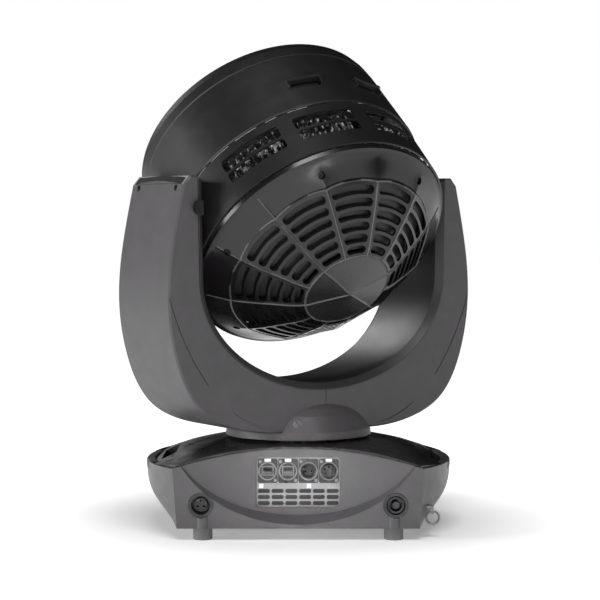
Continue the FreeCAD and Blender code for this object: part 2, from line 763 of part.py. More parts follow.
def yoke_shell():
    """Both covers in one, before the cut on the centre line."""
    full = ARM_HALF_DEPTH - EDGE_BEVEL
    solid = slab_y(yoke_outline(0), -full, full)
    for side in (-1, 1):
        inner = yoke_outline(0)
        inner.translate(V(0, side * full, 0))
        outer = yoke_outline(EDGE_BEVEL)
        outer.translate(V(0, side * ARM_HALF_DEPTH, 0))
        solid = solid.fuse(Part.makeLoft([inner, outer], True, True))
    solid = solid.cut(slab_y(bowl_opening(LIP_WIDTH + PART_GAP), -90, 90))
    inside = ARM_HALF_DEPTH - COVER_WALL
    shell = solid.cut(slab_y(yoke_outline(COVER_WALL), -inside, inside))
    sockets = []
    for side in (-1, 1):
        for y in (-ARM_SCREW_Y, ARM_SCREW_Y):
            sockets.append(rod(7.0, (side * 196, y, ARM_SCREW_Z), (side * 212, y, ARM_SCREW_Z)))
    shell = fuse_all([shell] + sockets)
    for side in (-1, 1):
        for y in (-ARM_SCREW_Y, ARM_SCREW_Y):
            shell = shell.cut(rod(4.2, (side * 206, y, ARM_SCREW_Z), (side * 230, y, ARM_SCREW_Z)))
    for curve in (((-237, 316), (-216, 258), (-179, 197)), ((-142, 161), (-116, 146), (-88, 136.5))):
        cut = groove(*curve, 1.4, 1.2)
        for tool in (cut, mirror_x(cut), mirror_y(cut), mirror_x(mirror_y(cut))):
            shell = shell.cut(tool)
    shell = shell.cut(rod(62.0, (0, 0, 120), (0, 0, 150)))
    return shell.cut(lock_stem_hole())


def split_cover(shell, side):
    """One half of the covers, on the side given by its sign."""
    low, high = (SEAM_GAP / 2, 300) if side > 0 else (-300, -SEAM_GAP / 2)
    half = shell.common(box(low, high, -100, 100, 0, 500))
    return max(half.Solids, key=lambda solid: solid.Volume)


def make_yoke_screws():
    screws = []
    for side in (-1, 1):
        for y in (-ARM_SCREW_Y, ARM_SCREW_Y):
            head = rod(4.0, (side * 206, y, ARM_SCREW_Z), (side * 210, y, ARM_SCREW_Z))
            socket = rod(1.8, (side * 208, y, ARM_SCREW_Z), (side * 212, y, ARM_SCREW_Z))
            screws.append(head.cut(socket))
    return group(screws)


HUMP_PROFILE = [(HUMP_R - 1, YOKE_FLOOR), (91, 142), (84.5, 151), (75.5, 159.5), (66, 166)]
PAN_LOCK_AT = V(-50, -74.5, 143)
PAN_LOCK_AXIS = V(-0.48, -0.72, 0.5)


def hump_solid(shrink):
    profile = [(0, 121.5 - shrink), (HUMP_R - shrink, 121.5 - shrink)]
    profile += [(r - shrink, z - shrink * 0.6) for r, z in HUMP_PROFILE]
    return lathe(profile + [(0, HUMP_PROFILE[-1][1] - shrink * 0.6)])


def make_hump_cover():
    """Round housing below the yoke, with a crescent in front and one behind."""
    clearance = ARM_HALF_DEPTH + PART_GAP
    cover = hump_solid(0).cut(hump_solid(3.0))
    cover = cover.cut(box(-120, 120, -clearance, clearance, YOKE_FLOOR - PART_GAP, 200))
    floor = tube(HUMP_R - 1, 60.0, (0, 0, 121.5), (0, 0, 124.5))
    cover = cover.fuse(floor)
    sleeve = rod(8.5, PAN_LOCK_AT + PAN_LOCK_AXIS * -7, PAN_LOCK_AT + PAN_LOCK_AXIS * 6)
    sleeve = sleeve.common(hump_solid(0.5))
    sleeve = sleeve.cut(box(-120, 120, -clearance, clearance, YOKE_FLOOR - PART_GAP, 200))
    cover = cover.fuse(sleeve)
    hole = rod(6.5, PAN_LOCK_AT + PAN_LOCK_AXIS * -5, PAN_LOCK_AT + PAN_LOCK_AXIS * 20)
    cover = cover.cut(hole)
    return max(cover.Solids, key=lambda solid: solid.Volume)


def make_pan_lock_knob():
    """Recessed quarter-turn knob with a screwdriver slot."""
    base = PAN_LOCK_AT + PAN_LOCK_AXIS * -4.6
    knob = rod(6.1, base, base + PAN_LOCK_AXIS * 4)
    slot_centre = base + PAN_LOCK_AXIS * 4
    slot = Part.makeBox(1.6, 9, 3, V(-0.8, -4.5, -1.5))
    slot.Placement = FreeCAD.Placement(slot_centre, FreeCAD.Rotation(V(0, 0, 1), PAN_LOCK_AXIS))
    return knob.cut(slot).common(box(-120, 120, -120, -ARM_HALF_DEPTH - PART_GAP - 0.1, 0, 200))


def make_pan_shaft():
    flange = rod(54.0, (0, 0, 124.8), (0, 0, YOKE_FLOOR))
    column = rod(PAN_SHAFT_R, (0, 0, 27), (0, 0, 126))
    return flange.fuse(column).cut(rod(22.0, (0, 0, 0), (0, 0, 150))).removeSplitter()


def make_pan_pulley():
    return tube(PAN_PULLEY_R, PAN_SHAFT_R, (0, 0, PAN_BELT_Z[0]), (0, 0, PAN_BELT_Z[1]))


def make_tilt_bearings():
    rings = []
    for side in (-1, 1):
        x0 = side * (BOWL_TOP_HALF_WIDTH + COVER_WALL)
        rings.append(tube(BEARING_R, SHAFT_R + RUN_GAP, (x0, 0, TILT_Z), (side * 197, 0, TILT_Z)))
    return group(rings)


def make_tilt_motor():
    z = TILT_MOTOR_Z
    body = box(-198, -163, -20, 20, z - 20, z + 20)
    return body.fuse(rod(2.5, (-198, 0, z), (-212, 0, z)))


def make_tilt_motor_pulley():
    z = TILT_MOTOR_Z
    return tube(TILT_MOTOR_R, 2.5 + RUN_GAP, (-TILT_BELT_X[0], 0, z), (-TILT_BELT_X[1], 0, z))


def make_tilt_belt():
    """Loop drawn flat, then stood up in the left arm."""
    loop = belt((TILT_Z, 0), TILT_PULLEY_R, (TILT_MOTOR_Z, 0), TILT_MOTOR_R, 1.6)
    solid = loop.extrude(V(0, 0, TILT_BELT_X[1] - TILT_BELT_X[0] - 2))
    solid.rotate(V(0, 0, 0), V(0, 1, 0), -90)
    solid.translate(V(-TILT_BELT_X[0] - 1, 0, 0))
    return solid


def make_tilt_lock_knob():
    """Half-round knob that turns on a stem in the left arm."""
    x = -TILT_LOCK_X
    disc = rod(9.5, (x, -74.0, TILT_Z), (x, -FRAME_HALF_DEPTH - PART_GAP, TILT_Z))
    half = disc.common(box(x - 20, x + 2.5, -80, -60, TILT_Z - 20, TILT_Z + 20))
    stem = rod(3.0, (x, -70, TILT_Z), (x, -60.5, TILT_Z))
    return half.fuse(stem).removeSplitter()


# ------------------------------------------------------------------ head: covers
def shaft_holes():
    return rod(16.0, (-200, 0, 0), (200, 0, 0))


def make_front_bezel():
    front = BEZEL_FRONT_Z
    back = BEZEL_BACK_Z + SEAM_GAP / 2
    groove_side = [(BEZEL_R - 0.2 - SEAM_BEVEL, back), (BEZEL_R - 0.2, back + SEAM_BEVEL)]
    outside = groove_side + [(BEZEL_R - 1.6, front - 14), (172.6, front - 4), (168, front)]
    rim = [(160, front), (152, front - 7), (152, front - 12)]
    glass_seat = [(164, front - 12), (164, front - 18), (171, back)]
    return lathe(outside + rim + glass_seat)


def make_front_glass():
    return rod(163.5, (0, 0, BEZEL_FRONT_Z - 16.5), (0, 0, BEZEL_FRONT_Z - 12.2))


def make_front_barrel():
    front = BEZEL_BACK_Z - SEAM_GAP / 2
    back = BARREL_BACK_Z + SEAM_GAP / 2
    outside = [(BARREL_R - 1.2, back), (BARREL_R, back + 2), (BEZEL_R, front - SEAM_BEVEL)]
    inside = [(BEZEL_R - SEAM_BEVEL, front), (BEZEL_R - SKIN, front), (BARREL_R - SKIN, back)]
    shell = lathe(outside + inside)
    low, high = HOOD_LEDGE
    half = HOOD_HALF_WIDTH
    for azimuth in HOOD_AZIMUTHS:
        ledge = box(176.8, HOOD_R, -half, half, low, high)
        ends = box(176.8, HOOD_END_R, -half, half, HOOD_POCKET_Z + 2, low)
        hole = box(160, 190, -half + 2, half - 2, HOOD_POCKET_Z, low)
        shell = shell.fuse(turned(ledge, azimuth)).fuse(turned(ends, azimuth))
        shell = shell.cut(turned(hole, azimuth))
    return shell.cut(shaft_holes())


def make_vent_band():
    """Recessed ring with two rows of cooling windows above and below."""
    front = BARREL_BACK_Z - SEAM_GAP / 2
    inner = BAND_R - SKIN
    band = lathe([(BAND_R, BAND_BACK_Z), (BAND_R, front), (inner, front), (inner, BAND_BACK_Z)])
    for azimuth in WINDOW_AZIMUTHS:
        for low, high in WINDOW_ROWS:
            window = box(140, 200, -WINDOW_WIDTH / 2, WINDOW_WIDTH / 2, low, high)
            edges = [edge for edge in window.Edges if abs(edge.tangentAt(edge.FirstParameter).x) > 0.9]
            band = band.cut(turned(window.makeFillet(4.0, edges), azimuth))
    return band.cut(shaft_holes())


def cap_solid(shrink):
    """Solid dome of the rear cap; the flat side faces the light's front."""
    points = [V(CAP_EDGE[0] - shrink, 0, CAP_PROFILE[0][1] + shrink)]
    dome = [V(max(r - shrink * 0.5, 0), 0, z + shrink * 0.8) for r, z in CAP_PROFILE[1:]]
    dome[-1] = V(0, 0, CAP_PROFILE[-1][1] + shrink)
    start = V(CAP_EDGE[0] - shrink, 0, CAP_EDGE[1] + (1 if shrink else 0))
    first = V(CAP_PROFILE[0][0] - shrink, 0, CAP_PROFILE[0][1])
    curve = curve_edge([first] + dome)
    axis_top = V(0, 0, start.z)
    edges = [line(start, first), curve, line(dome[-1], axis_top), line(axis_top, start)]
    return Part.Face(Part.Wire(edges)).revolve(V(0, 0, 0), V(0, 0, 1), 360)


def cap_height(radius):
    """Height of the cap's outer surface at a radius, by straight spans."""
    for (r0, z0), (r1, z1) in zip(CAP_PROFILE, CAP_PROFILE[1:]):
        if r1 <= radius <= r0:
            return z0 + (z1 - z0) * (r0 - radius) / (r0 - r1)
    return CAP_PROFILE[-1][1]


def slot_tools():
    """Ring-shaped slots of the grille, broken by the radial ribs."""
    pitch = (SLOT_OUT_R - SLOT_IN_R) / SLOT_ROWS
    rings = []
    for row in range(SLOT_ROWS):
        middle = SLOT_IN_R + pitch * (row + 0.5)
        low = cap_height(middle) - 12
        outer = middle + SLOT_WIDTH / 2
        inner = middle - SLOT_WIDTH / 2
        rings.append(lathe([(inner, low), (outer, low), (outer, low + 24), (inner, low + 24)]))
    rib = box(0, 200, -RIB_WIDTH / 2, RIB_WIDTH / 2, -200, 0)
    ribs = [turned(rib, CAP_TURN + 360 / RIB_COUNT * i) for i in range(RIB_COUNT)]
    return group(rings).cut(group(ribs))


def cap_screw_axis(index):
    """Outer point and outward direction of one sunk screw."""
    angle = -math.radians(CAP_TURN + 360 / CAP_SCREWS * index)
    out = V(math.cos(angle), math.sin(angle), 0)
    point = out * CAP_SCREW_R + V(0, 0, CAP_SCREW_Z)
    normal = (out * 0.68 + V(0, 0, -0.73)).normalize()
    return point, normal


def make_rear_cap():
    """Domed cover with the radial grille and sunk screw holes."""
    cap = cap_solid(0).cut(cap_solid(CAP_THICK))
    sleeves = []
    holes = []
    for i in range(CAP_SCREWS):
        point, normal = cap_screw_axis(i)
        sleeves.append(rod(7.5, point - normal * 14, point))
        holes.append(rod(5.0, point - normal * 9, point + normal * 20))
    cap = cap.multiFuse([sleeve.common(cap_solid(0.5)) for sleeve in sleeves])
    for hole in holes:
        cap = cap.cut(hole)
    return cap.cut(slot_tools()).removeSplitter()


def make_cap_screws():
    screws = []
    for i in range(CAP_SCREWS):
        point, normal = cap_screw_axis(i)
        head = rod(4.4, point - normal * 9, point - normal * 5.5)
        screws.append(head.cut(rod(2.0, point - normal * 7, point)))
    return group(screws)


# ------------------------------------------------------------------ head: inner parts
def make_head_chassis():
    """Ring with two blocks that carry the tilt shafts."""
    ring = tube(164.0, 150.0, (0, 0, -4), (0, 0, 4))
    shapes = [ring]
    for side in (-1, 1):
        block = box(150, 167, -30, 30, -28, 26)
        shapes.append(block if side > 0 else mirror_x(block))
    body = fuse_all(shapes)
    return body.cut(rod(SHAFT_R, (-200, 0, 0), (200, 0, 0)))


def make_tilt_shafts():
    shafts = []
    for side, end in ((-1, TILT_BELT_X[1]), (1, 199.0)):
        bar = rod(SHAFT_R, (side * 152, 0, 0), (side * end, 0, 0))
        disc = rod(15.0, (side * 167, 0, 0), (side * 170, 0, 0))
        shafts.append(bar.fuse(disc).cut(rod(SHAFT_BORE_R, (side * 150, 0, 0), (side * 220, 0, 0))))
    return group(shafts)


def make_tilt_pulley():
    return tube(TILT_PULLEY_R, SHAFT_R, (-TILT_BELT_X[0], 0, 0), (-TILT_BELT_X[1], 0, 0))


def led_places():
    """Hexagonal pattern of 37 light sources."""
    places = []
    for row in range(-3, 4):
        count = 7 - abs(row)
        for column in range(count):
            places.append(((column - (count - 1) / 2) * LED_PITCH, row * LED_PITCH * math.sqrt(3) / 2))
    return places


def make_led_board():
    """Round board with one square light source under each lens."""
    chips = [box(x - 5, x + 5, y - 5, y + 5, 25, 28) for x, y in led_places()]
    return fuse_all([rod(138.0, (0, 0, 22), (0, 0, 25))] + chips)


def make_heat_sink():
    """Base plate with straight cooling fins across the head."""
    fins = [rod(134.0, (0, 0, 15), (0, 0, 22))]
    count = 25
    for i in range(count):
        x = (i - (count - 1) / 2) * 10.0
        half = math.sqrt(134.0 ** 2 - x * x)
        fins.append(box(x - 0.9, x + 0.9, -half, half, -60, 16))
    return fuse_all(fins)


def make_cooling_fins():
    """Fin packs on bent pipes round the sink, seen through the windows."""
    packs = []
    for azimuth in WINDOW_AZIMUTHS:
        pieces = [box(155, 157, -37, 37, -50, -6)]
        for i in range(8):
            y = -33.25 + 9.5 * i
            pieces.append(box(157, 167, y - 0.8, y + 0.8, -50, -6))
        for shift in (-21, -7, 7, 21):
            pieces.append(rod(3.0, (139, shift, 18), (153, shift, -46)))
        packs.append(turned(fuse_all(pieces), azimuth))
    return group(packs)


def make_fan_frame():
    ring = tube(78.0, 71.0, (0, 0, -98), (0, 0, -70))
    spokes = [box(15, 73, -2, 2, -98, -95)]
    spokes = [turned(spokes[0], azimuth) for azimuth in (30, 150, 270)]
    posts = [turned(rod(4.0, (74.5, 0, -72), (74.5, 0, -60)), azimuth) for azimuth in (30, 150, 270)]
    centre = rod(20.0, (0, 0, -98), (0, 0, -95)).fuse(rod(2.0, (0, 0, -95), (0, 0, -76)))
    return fuse_all([ring, centre] + spokes + posts)


def make_fan_rotor():
    hub = tube(21.0, 2.0 + RUN_GAP, (0, 0, -94.5), (0, 0, -74))
    blades = [hub]
    for i in range(7):
        blade = box(19, 69, -0.8, 0.8, -10, 10)
        blade.rotate(V(0, 0, 0), V(1, 0, 0), 50)
        blade.translate(V(0, 0, -84))
        blades.append(turned(blade, 360 / 7 * i))
    return fuse_all(blades)


def make_lens_holder():
    """Perforated carriage plate with two nuts for the zoom screws."""
    plate = rod(144.0, (0, 0, 60), (0, 0, 63))
    lugs = [turned(box(135, 158, -9, 9, 57, 66), azimuth) for azimuth in ZOOM_AZIMUTHS]
    holder = fuse_all([plate] + lugs)
    bore = rod(ZOOM_SCREW_R + RUN_GAP, (ZOOM_SCREW_RING, 0, 0), (ZOOM_SCREW_RING, 0, 200))
    bores = [turned(bore, azimuth) for azimuth in ZOOM_AZIMUTHS]
    windows = [rod(17.0, (x, y, 50), (x, y, 70)) for x, y in led_places()]
    return holder.cut(group(bores + windows))


def make_lens_array():
    """One domed lens over each light source."""
    lenses = []
    for x, y in led_places():
        ball = Part.makeSphere(34.0, V(x, y, 77.0 - 34.0))
        lens = rod(LENS_R, (x, y, 63), (x, y, 90)).common(ball)
        lenses.append(lens)
    return group(lenses)


def make_zoom_screw(azimuth):
    return turned(rod(ZOOM_SCREW_R, (ZOOM_SCREW_RING, 0, 29), (ZOOM_SCREW_RING, 0, 114)), azimuth)


def make_zoom_motors():
    motors = []
    for azimuth in ZOOM_AZIMUTHS:
        motors.append(turned(box(140, 160, -10, 10, 4, 28), azimuth))
    return group(motors)


# ------------------------------------------------------------------ all nodes
def build_base():
    save("base_shell", make_base_shell())
    save("base_top_cover", make_base_top_cover())
    save("base_bottom_plate", make_base_bottom_plate())
    save("rubber_feet", make_rubber_feet())
    save("carry_grips", make_carry_grips())
    save("connector_plate", make_connector_plate())
    save("data_sockets", make_data_sockets())
    save("signal_inlet", make_signal_inlet())
    save("signal_outlet", make_signal_outlet())
    save("connector_screws", make_connector_screws())
    for name, index in (("release_tab_a", 0), ("release_tab_b", 1), ("release_tab_c", 3)):
        save(name, make_release_tab(index))
    save("power_inlet", make_power_inlet())
    save("power_outlet", make_power_outlet())
    save("safety_lug", make_safety_lug())
    save("safety_ring", make_safety_ring())
    save("control_panel", make_control_panel())
    save("display_window", make_display_window())
    for name, (x, z) in button_places().items():
        save(name, make_menu_button(x, z))
    save("power_supply", make_power_supply())
    save("pan_bearing_housing", make_pan_bearing_housing())
    save("pan_bearings", make_pan_bearings())
    save("pan_motor", make_pan_motor())
    save("pan_motor_pulley", make_pan_motor_pulley())
    save("pan_belt", make_pan_belt())


def build_yoke():
    shell = yoke_shell()
    save("yoke_cover_left", split_cover(shell, -1), place_yoke)
    save("yoke_cover_right", split_cover(shell, 1), place_yoke)
    save("yoke_frame", make_yoke_frame(), place_yoke)
    save("hump_cover", make_hump_cover(), place_yoke)
    save("yoke_screws", make_yoke_screws(), place_yoke)
    save("pan_shaft", make_pan_shaft(), place_yoke)
    save("pan_pulley", make_pan_pulley(), place_yoke)
    save("pan_lock_knob", make_pan_lock_knob(), place_yoke)
    save("tilt_bearings", make_tilt_bearings(), place_yoke)
    save("tilt_motor", make_tilt_motor(), place_yoke)
    save("tilt_motor_pulley", make_tilt_motor_pulley(), place_yoke)
    save("tilt_belt", make_tilt_belt(), place_yoke)
    save("tilt_lock_knob", make_tilt_lock_knob(), place_yoke)


def build_head():
    save("front_bezel", make_front_bezel(), place_head)
    save("front_glass", make_front_glass(), place_head)
    save("front_barrel", make_front_barrel(), place_head)
    save("vent_band", make_vent_band(), place_head)
    save("rear_cap", make_rear_cap(), place_head)
    save("cap_screws", make_cap_screws(), place_head)
    save("head_chassis", make_head_chassis(), place_head)
    save("tilt_shafts", make_tilt_shafts(), place_head)
    save("tilt_pulley", make_tilt_pulley(), place_head)
    save("led_board", make_led_board(), place_head)
    save("heat_sink", make_heat_sink(), place_head)
    save("cooling_fins", make_cooling_fins(), place_head)
    save("fan_frame", make_fan_frame(), place_head)
    save("fan_rotor", make_fan_rotor(), place_head)
    save("lens_holder", make_lens_holder(), place_head)
    save("lens_array", make_lens_array(), place_head)
    save("zoom_motors", make_zoom_motors(), place_head)
    for name, azimuth in zip(("zoom_screw_a", "zoom_screw_b"), ZOOM_AZIMUTHS):
        save(name, make_zoom_screw(azimuth), place_head)


os.makedirs("parts", exist_ok=True)
build_base()
build_yoke()
build_head()
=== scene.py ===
import json
import math

import bmesh
import bpy
from mathutils import Matrix, Vector


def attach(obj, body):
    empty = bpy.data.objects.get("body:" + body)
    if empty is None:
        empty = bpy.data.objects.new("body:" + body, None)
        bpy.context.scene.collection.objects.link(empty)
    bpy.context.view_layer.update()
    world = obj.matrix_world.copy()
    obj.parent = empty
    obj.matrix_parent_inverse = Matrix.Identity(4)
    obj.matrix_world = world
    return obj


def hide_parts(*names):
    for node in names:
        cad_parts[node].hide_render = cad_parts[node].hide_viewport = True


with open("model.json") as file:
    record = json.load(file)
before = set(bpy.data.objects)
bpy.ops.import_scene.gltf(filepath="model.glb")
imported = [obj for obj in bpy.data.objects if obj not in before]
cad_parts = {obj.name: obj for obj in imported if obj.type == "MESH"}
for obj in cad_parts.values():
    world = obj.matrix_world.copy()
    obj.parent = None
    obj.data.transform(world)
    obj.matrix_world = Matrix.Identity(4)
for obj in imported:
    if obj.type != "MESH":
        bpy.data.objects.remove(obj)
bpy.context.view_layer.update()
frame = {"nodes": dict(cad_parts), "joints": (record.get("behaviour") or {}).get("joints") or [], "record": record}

NODES = frame["nodes"]
JOINTS = {joint["name"]: joint for joint in frame["joints"]}

# ------------------------------------------------------------------ driving dimensions (mm and degrees)
MM = 0.001                   # metres in a millimetre
TILT_AXIS = Vector(JOINTS["tilt"]["axis"])
TILT_CENTRE = Vector(JOINTS["tilt"]["pos_m"])
PAN_REST = math.atan2(TILT_AXIS.y, TILT_AXIS.x)
TILT_REST = math.radians(47.65)
# places a shape from the yoke's frame, and from the upright head's frame, into the model at rest
YOKE = Matrix.Rotation(PAN_REST, 4, "Z")
HEAD = YOKE @ Matrix.Translation(TILT_CENTRE) @ Matrix.Rotation(-TILT_REST, 4, "X")

# Rear cap, in the upright head's frame, as (radius, height) in mm
CAP_EDGE = (174.6, -73.2)
CAP_SHOULDER_R = 173.0       # where the dome ends and the edge begins
CAP_PROFILE = [
    (173.4, -79.0),
    (164.5, -84.5),
    (137.3, -109.0),
    (100.0, -133.5),
    (58.6, -155.9),
    (0.0, -165.0),
]
CAP_SHELL = 4.5              # wall
SHELL_SINK = 0.85            # share of the wall along the axis
SHELL_SHRINK = 0.55          # and towards the axis, outside SHRINK_FROM_R
SHRINK_FROM_R = 100.0
CENTRE_LIFT = 2.1            # tip of the hub beyond the profile's last point
RIB_COUNT = 12
RIB_HALF = 4.2
RIB_STEP = 360 / RIB_COUNT
# places of the mesh's lines between two ribs: fine beside the ribs, coarse between
RIB_OFFSETS = (
    0, 0.35, 0.7, 1.4, 2.5, 4, 6, 8, 10, 12.5, 15, 17.5, 20, 22, 24, 26, 27.5, 28.6, 29.3, 29.65
)
HUB_RING_OFFSETS = (2.3, 1.4, 0.6, -0.2, -1.1)
RIM_RING_OFFSETS = (-1.7, -0.8, 0.0, 0.8, 1.7)
FLAT_FADE_R = 166.0          # the flat panels between the ribs turn round from here inwards
FLAT_FADE = 26.0
SLOT_ROWS = 6
SLOT_IN = 60.5
SLOT_OUT = 138.5
SLOT_HALF = 4.7
SLOT_STEPS = 12              # divisions along a slot
SLOT_END_STEPS = 8           # and round each end
SLOT_CUT = (-16, 24)         # reach of the slot cutters below and above the dome
HUB_R = 58.6
HUB_FLATNESS = 0.14
HUB_RAISE = 0.6              # the hub stands this far out of the dome
CAP_SETBACK = 0.25           # keeps the raised ridges inside the CAD shape's box
CAP_TURN = -3.0              # the cap's pattern of ribs and screws, against the tilt axis
HUB_RIDGES = (30, 150, 210, 330)   # ribs that run on over the hub, before the turn
LONG_RIDGES = (0, 180)       # ribs with the same raised line that stop at the hub
RIDGE_END_R = 167.0          # outer end of the long ridges
RIDGE_HALF = 1.4
RIDGE_TALL = 1.3             # height of the lines on the hub's and the long ribs
RIDGE_LOW = 0.6              # and on the other ribs
RIDGE_HIGHLIGHT_FROM = 0.3           # ridge height above which the ridge's top gets a lighter colour, a painted highlight
RIM_RIDGE_R = 141.5          # raised line round the grille
RIM_RIDGE = 0.9
RIM_RIDGE_HALF = 1.6
FILTER_DEPTH = 15.0          # dark dust filter behind the louvres
LOUVRE_SHALLOW = 8.0         # below the cap's surface at the inner edge of a slot
LOUVRE_DEEP = 13.0           # and at the outer edge
SCREW_COUNT = 6
SCREW_RING = 155.0
SCREW_Z = -92.5
SCREW_SLOPE = (0.68, -0.73)  # direction of the screw holes: outwards, up
SCREW_HOLE_R = 5.0
SCREW_HOLE_LENGTH = 30.0


# ------------------------------------------------------------------ material helpers
def new_material(name):
    material = bpy.data.materials.new(name)
    material.use_nodes = True
    tree = material.node_tree
    return material, tree, tree.nodes["Principled BSDF"]


def noise(tree, scale, detail=4.0, rough=0.55):
    """Noise fixed to the object, with its scale in repeats per metre."""
    node = tree.nodes.new("ShaderNodeTexNoise")
    node.inputs["Scale"].default_value = scale
    node.inputs["Detail"].default_value = detail
    node.inputs["Roughness"].default_value = rough
    coords = tree.nodes.new("ShaderNodeTexCoord")
    tree.links.new(coords.outputs["Object"], node.inputs["Vector"])
    return node


def ramp(tree, source, stops):
    """Colours or greys from a value, as (place, colour) stops."""
    node = tree.nodes.new("ShaderNodeValToRGB")
    ramp_data = node.color_ramp
    while len(ramp_data.elements) < len(stops):
        ramp_data.elements.new(0.5)
    for element, (place, colour) in zip(ramp_data.elements, stops):
        element.position = place
        element.color = (*colour, 1.0) if len(colour) == 3 else colour
    tree.links.new(source, node.inputs["Fac"])
    return node


def shade(colour, factor):
    return tuple(min(1.0, channel * factor) for channel in colour)


def grained(
    name, colour, roughness, grain_mm, grain_depth, metallic=0.0, spread=0.18, rough_spread=0.1, specular=0.5
):
    """Moulded or painted surface: cloudy colour, uneven gloss and a fine grain."""
    material, tree, shader = new_material(name)
    cloud = noise(tree, 40.0, 9.0, 0.75)
    stops = [(0.3, shade(colour, 1 - spread)), (0.7, shade(colour, 1 + spread))]
    colours = ramp(tree, cloud.outputs["Fac"], stops)
    tree.links.new(colours.outputs["Color"], shader.inputs["Base Color"])
    smear = noise(tree, 45.0, 3.0)
    low = max(0.0, roughness - rough_spread)
    high = min(1.0, roughness + rough_spread)
    gloss = ramp(tree, smear.outputs["Fac"], [(0.3, (low, low, low)), (0.7, (high, high, high))])
    tree.links.new(gloss.outputs["Color"], shader.inputs["Roughness"])
    grain = noise(tree, 1.0 / (grain_mm * MM), 2.0)
    bump = tree.nodes.new("ShaderNodeBump")
    bump.inputs["Strength"].default_value = 0.35
    bump.inputs["Distance"].default_value = grain_depth * MM
    tree.links.new(grain.outputs["Fac"], bump.inputs["Height"])
    tree.links.new(bump.outputs["Normal"], shader.inputs["Normal"])
    shader.inputs["Metallic"].default_value = metallic
    shader.inputs["Specular IOR Level"].default_value = specular
    return material


def glint_painted_metal(name, colour):
    """Thin bright fin stock, with painted glints: bright spots of its colour among near-black painted shade."""
    material, tree, shader = new_material(name)
    # painted glints and painted shade: the colour jumps between near-black and bright in spots
    painted_glints = noise(tree, 110.0, 3.0, 0.7)
    colours = ramp(tree, painted_glints.outputs["Fac"], [(0.52, shade(colour, 0.03)), (0.60, colour)])
    tree.links.new(colours.outputs["Color"], shader.inputs["Base Color"])
    crumple = noise(tree, 160.0, 2.0)
    bump = tree.nodes.new("ShaderNodeBump")
    bump.inputs["Strength"].default_value = 1.0
    bump.inputs["Distance"].default_value = 3.0 * MM
    tree.links.new(crumple.outputs["Fac"], bump.inputs["Height"])
    tree.links.new(bump.outputs["Normal"], shader.inputs["Normal"])
    shader.inputs["Metallic"].default_value = 0.35
    shader.inputs["Roughness"].default_value = 0.28
    return material


def brushed(name, colour, roughness, axis=(1, 1, 1)):
    """Metal with fine lines along one axis."""
    material, tree, shader = new_material(name)
    coords = tree.nodes.new("ShaderNodeTexCoord")
    mapping = tree.nodes.new("ShaderNodeMapping")
    mapping.inputs["Scale"].default_value = axis
    lines = tree.nodes.new("ShaderNodeTexNoise")
    lines.inputs["Scale"].default_value = 60.0
    lines.inputs["Detail"].default_value = 6.0
    tree.links.new(coords.outputs["Object"], mapping.inputs["Vector"])
    tree.links.new(mapping.outputs["Vector"], lines.inputs["Vector"])
    colours = ramp(tree, lines.outputs["Fac"], [(0.3, shade(colour, 0.8)), (0.7, shade(colour, 1.15))])
    tree.links.new(colours.outputs["Color"], shader.inputs["Base Color"])
    low, high = roughness - 0.08, roughness + 0.12
    gloss = ramp(tree, lines.outputs["Fac"], [(0.3, (low, low, low)), (0.7, (high, high, high))])
    tree.links.new(gloss.outputs["Color"], shader.inputs["Roughness"])
    shader.inputs["Metallic"].default_value = 1.0
    return material


def clear_material(name, colour, roughness):
    """Clear glass or plastic with faint smears."""
    material, tree, shader = new_material(name)
    smear = noise(tree, 30.0, 3.0)
    low, high = roughness, roughness + 0.08
    gloss = ramp(tree, smear.outputs["Fac"], [(0.3, (low, low, low)), (0.7, (high, high, high))])
    tree.links.new(gloss.outputs["Color"], shader.inputs["Roughness"])
    shader.inputs["Base Color"].default_value = (*colour, 1.0)
    shader.inputs["Transmission Weight"].default_value = 0.9
    shader.inputs["IOR"].default_value = 1.46
    return material


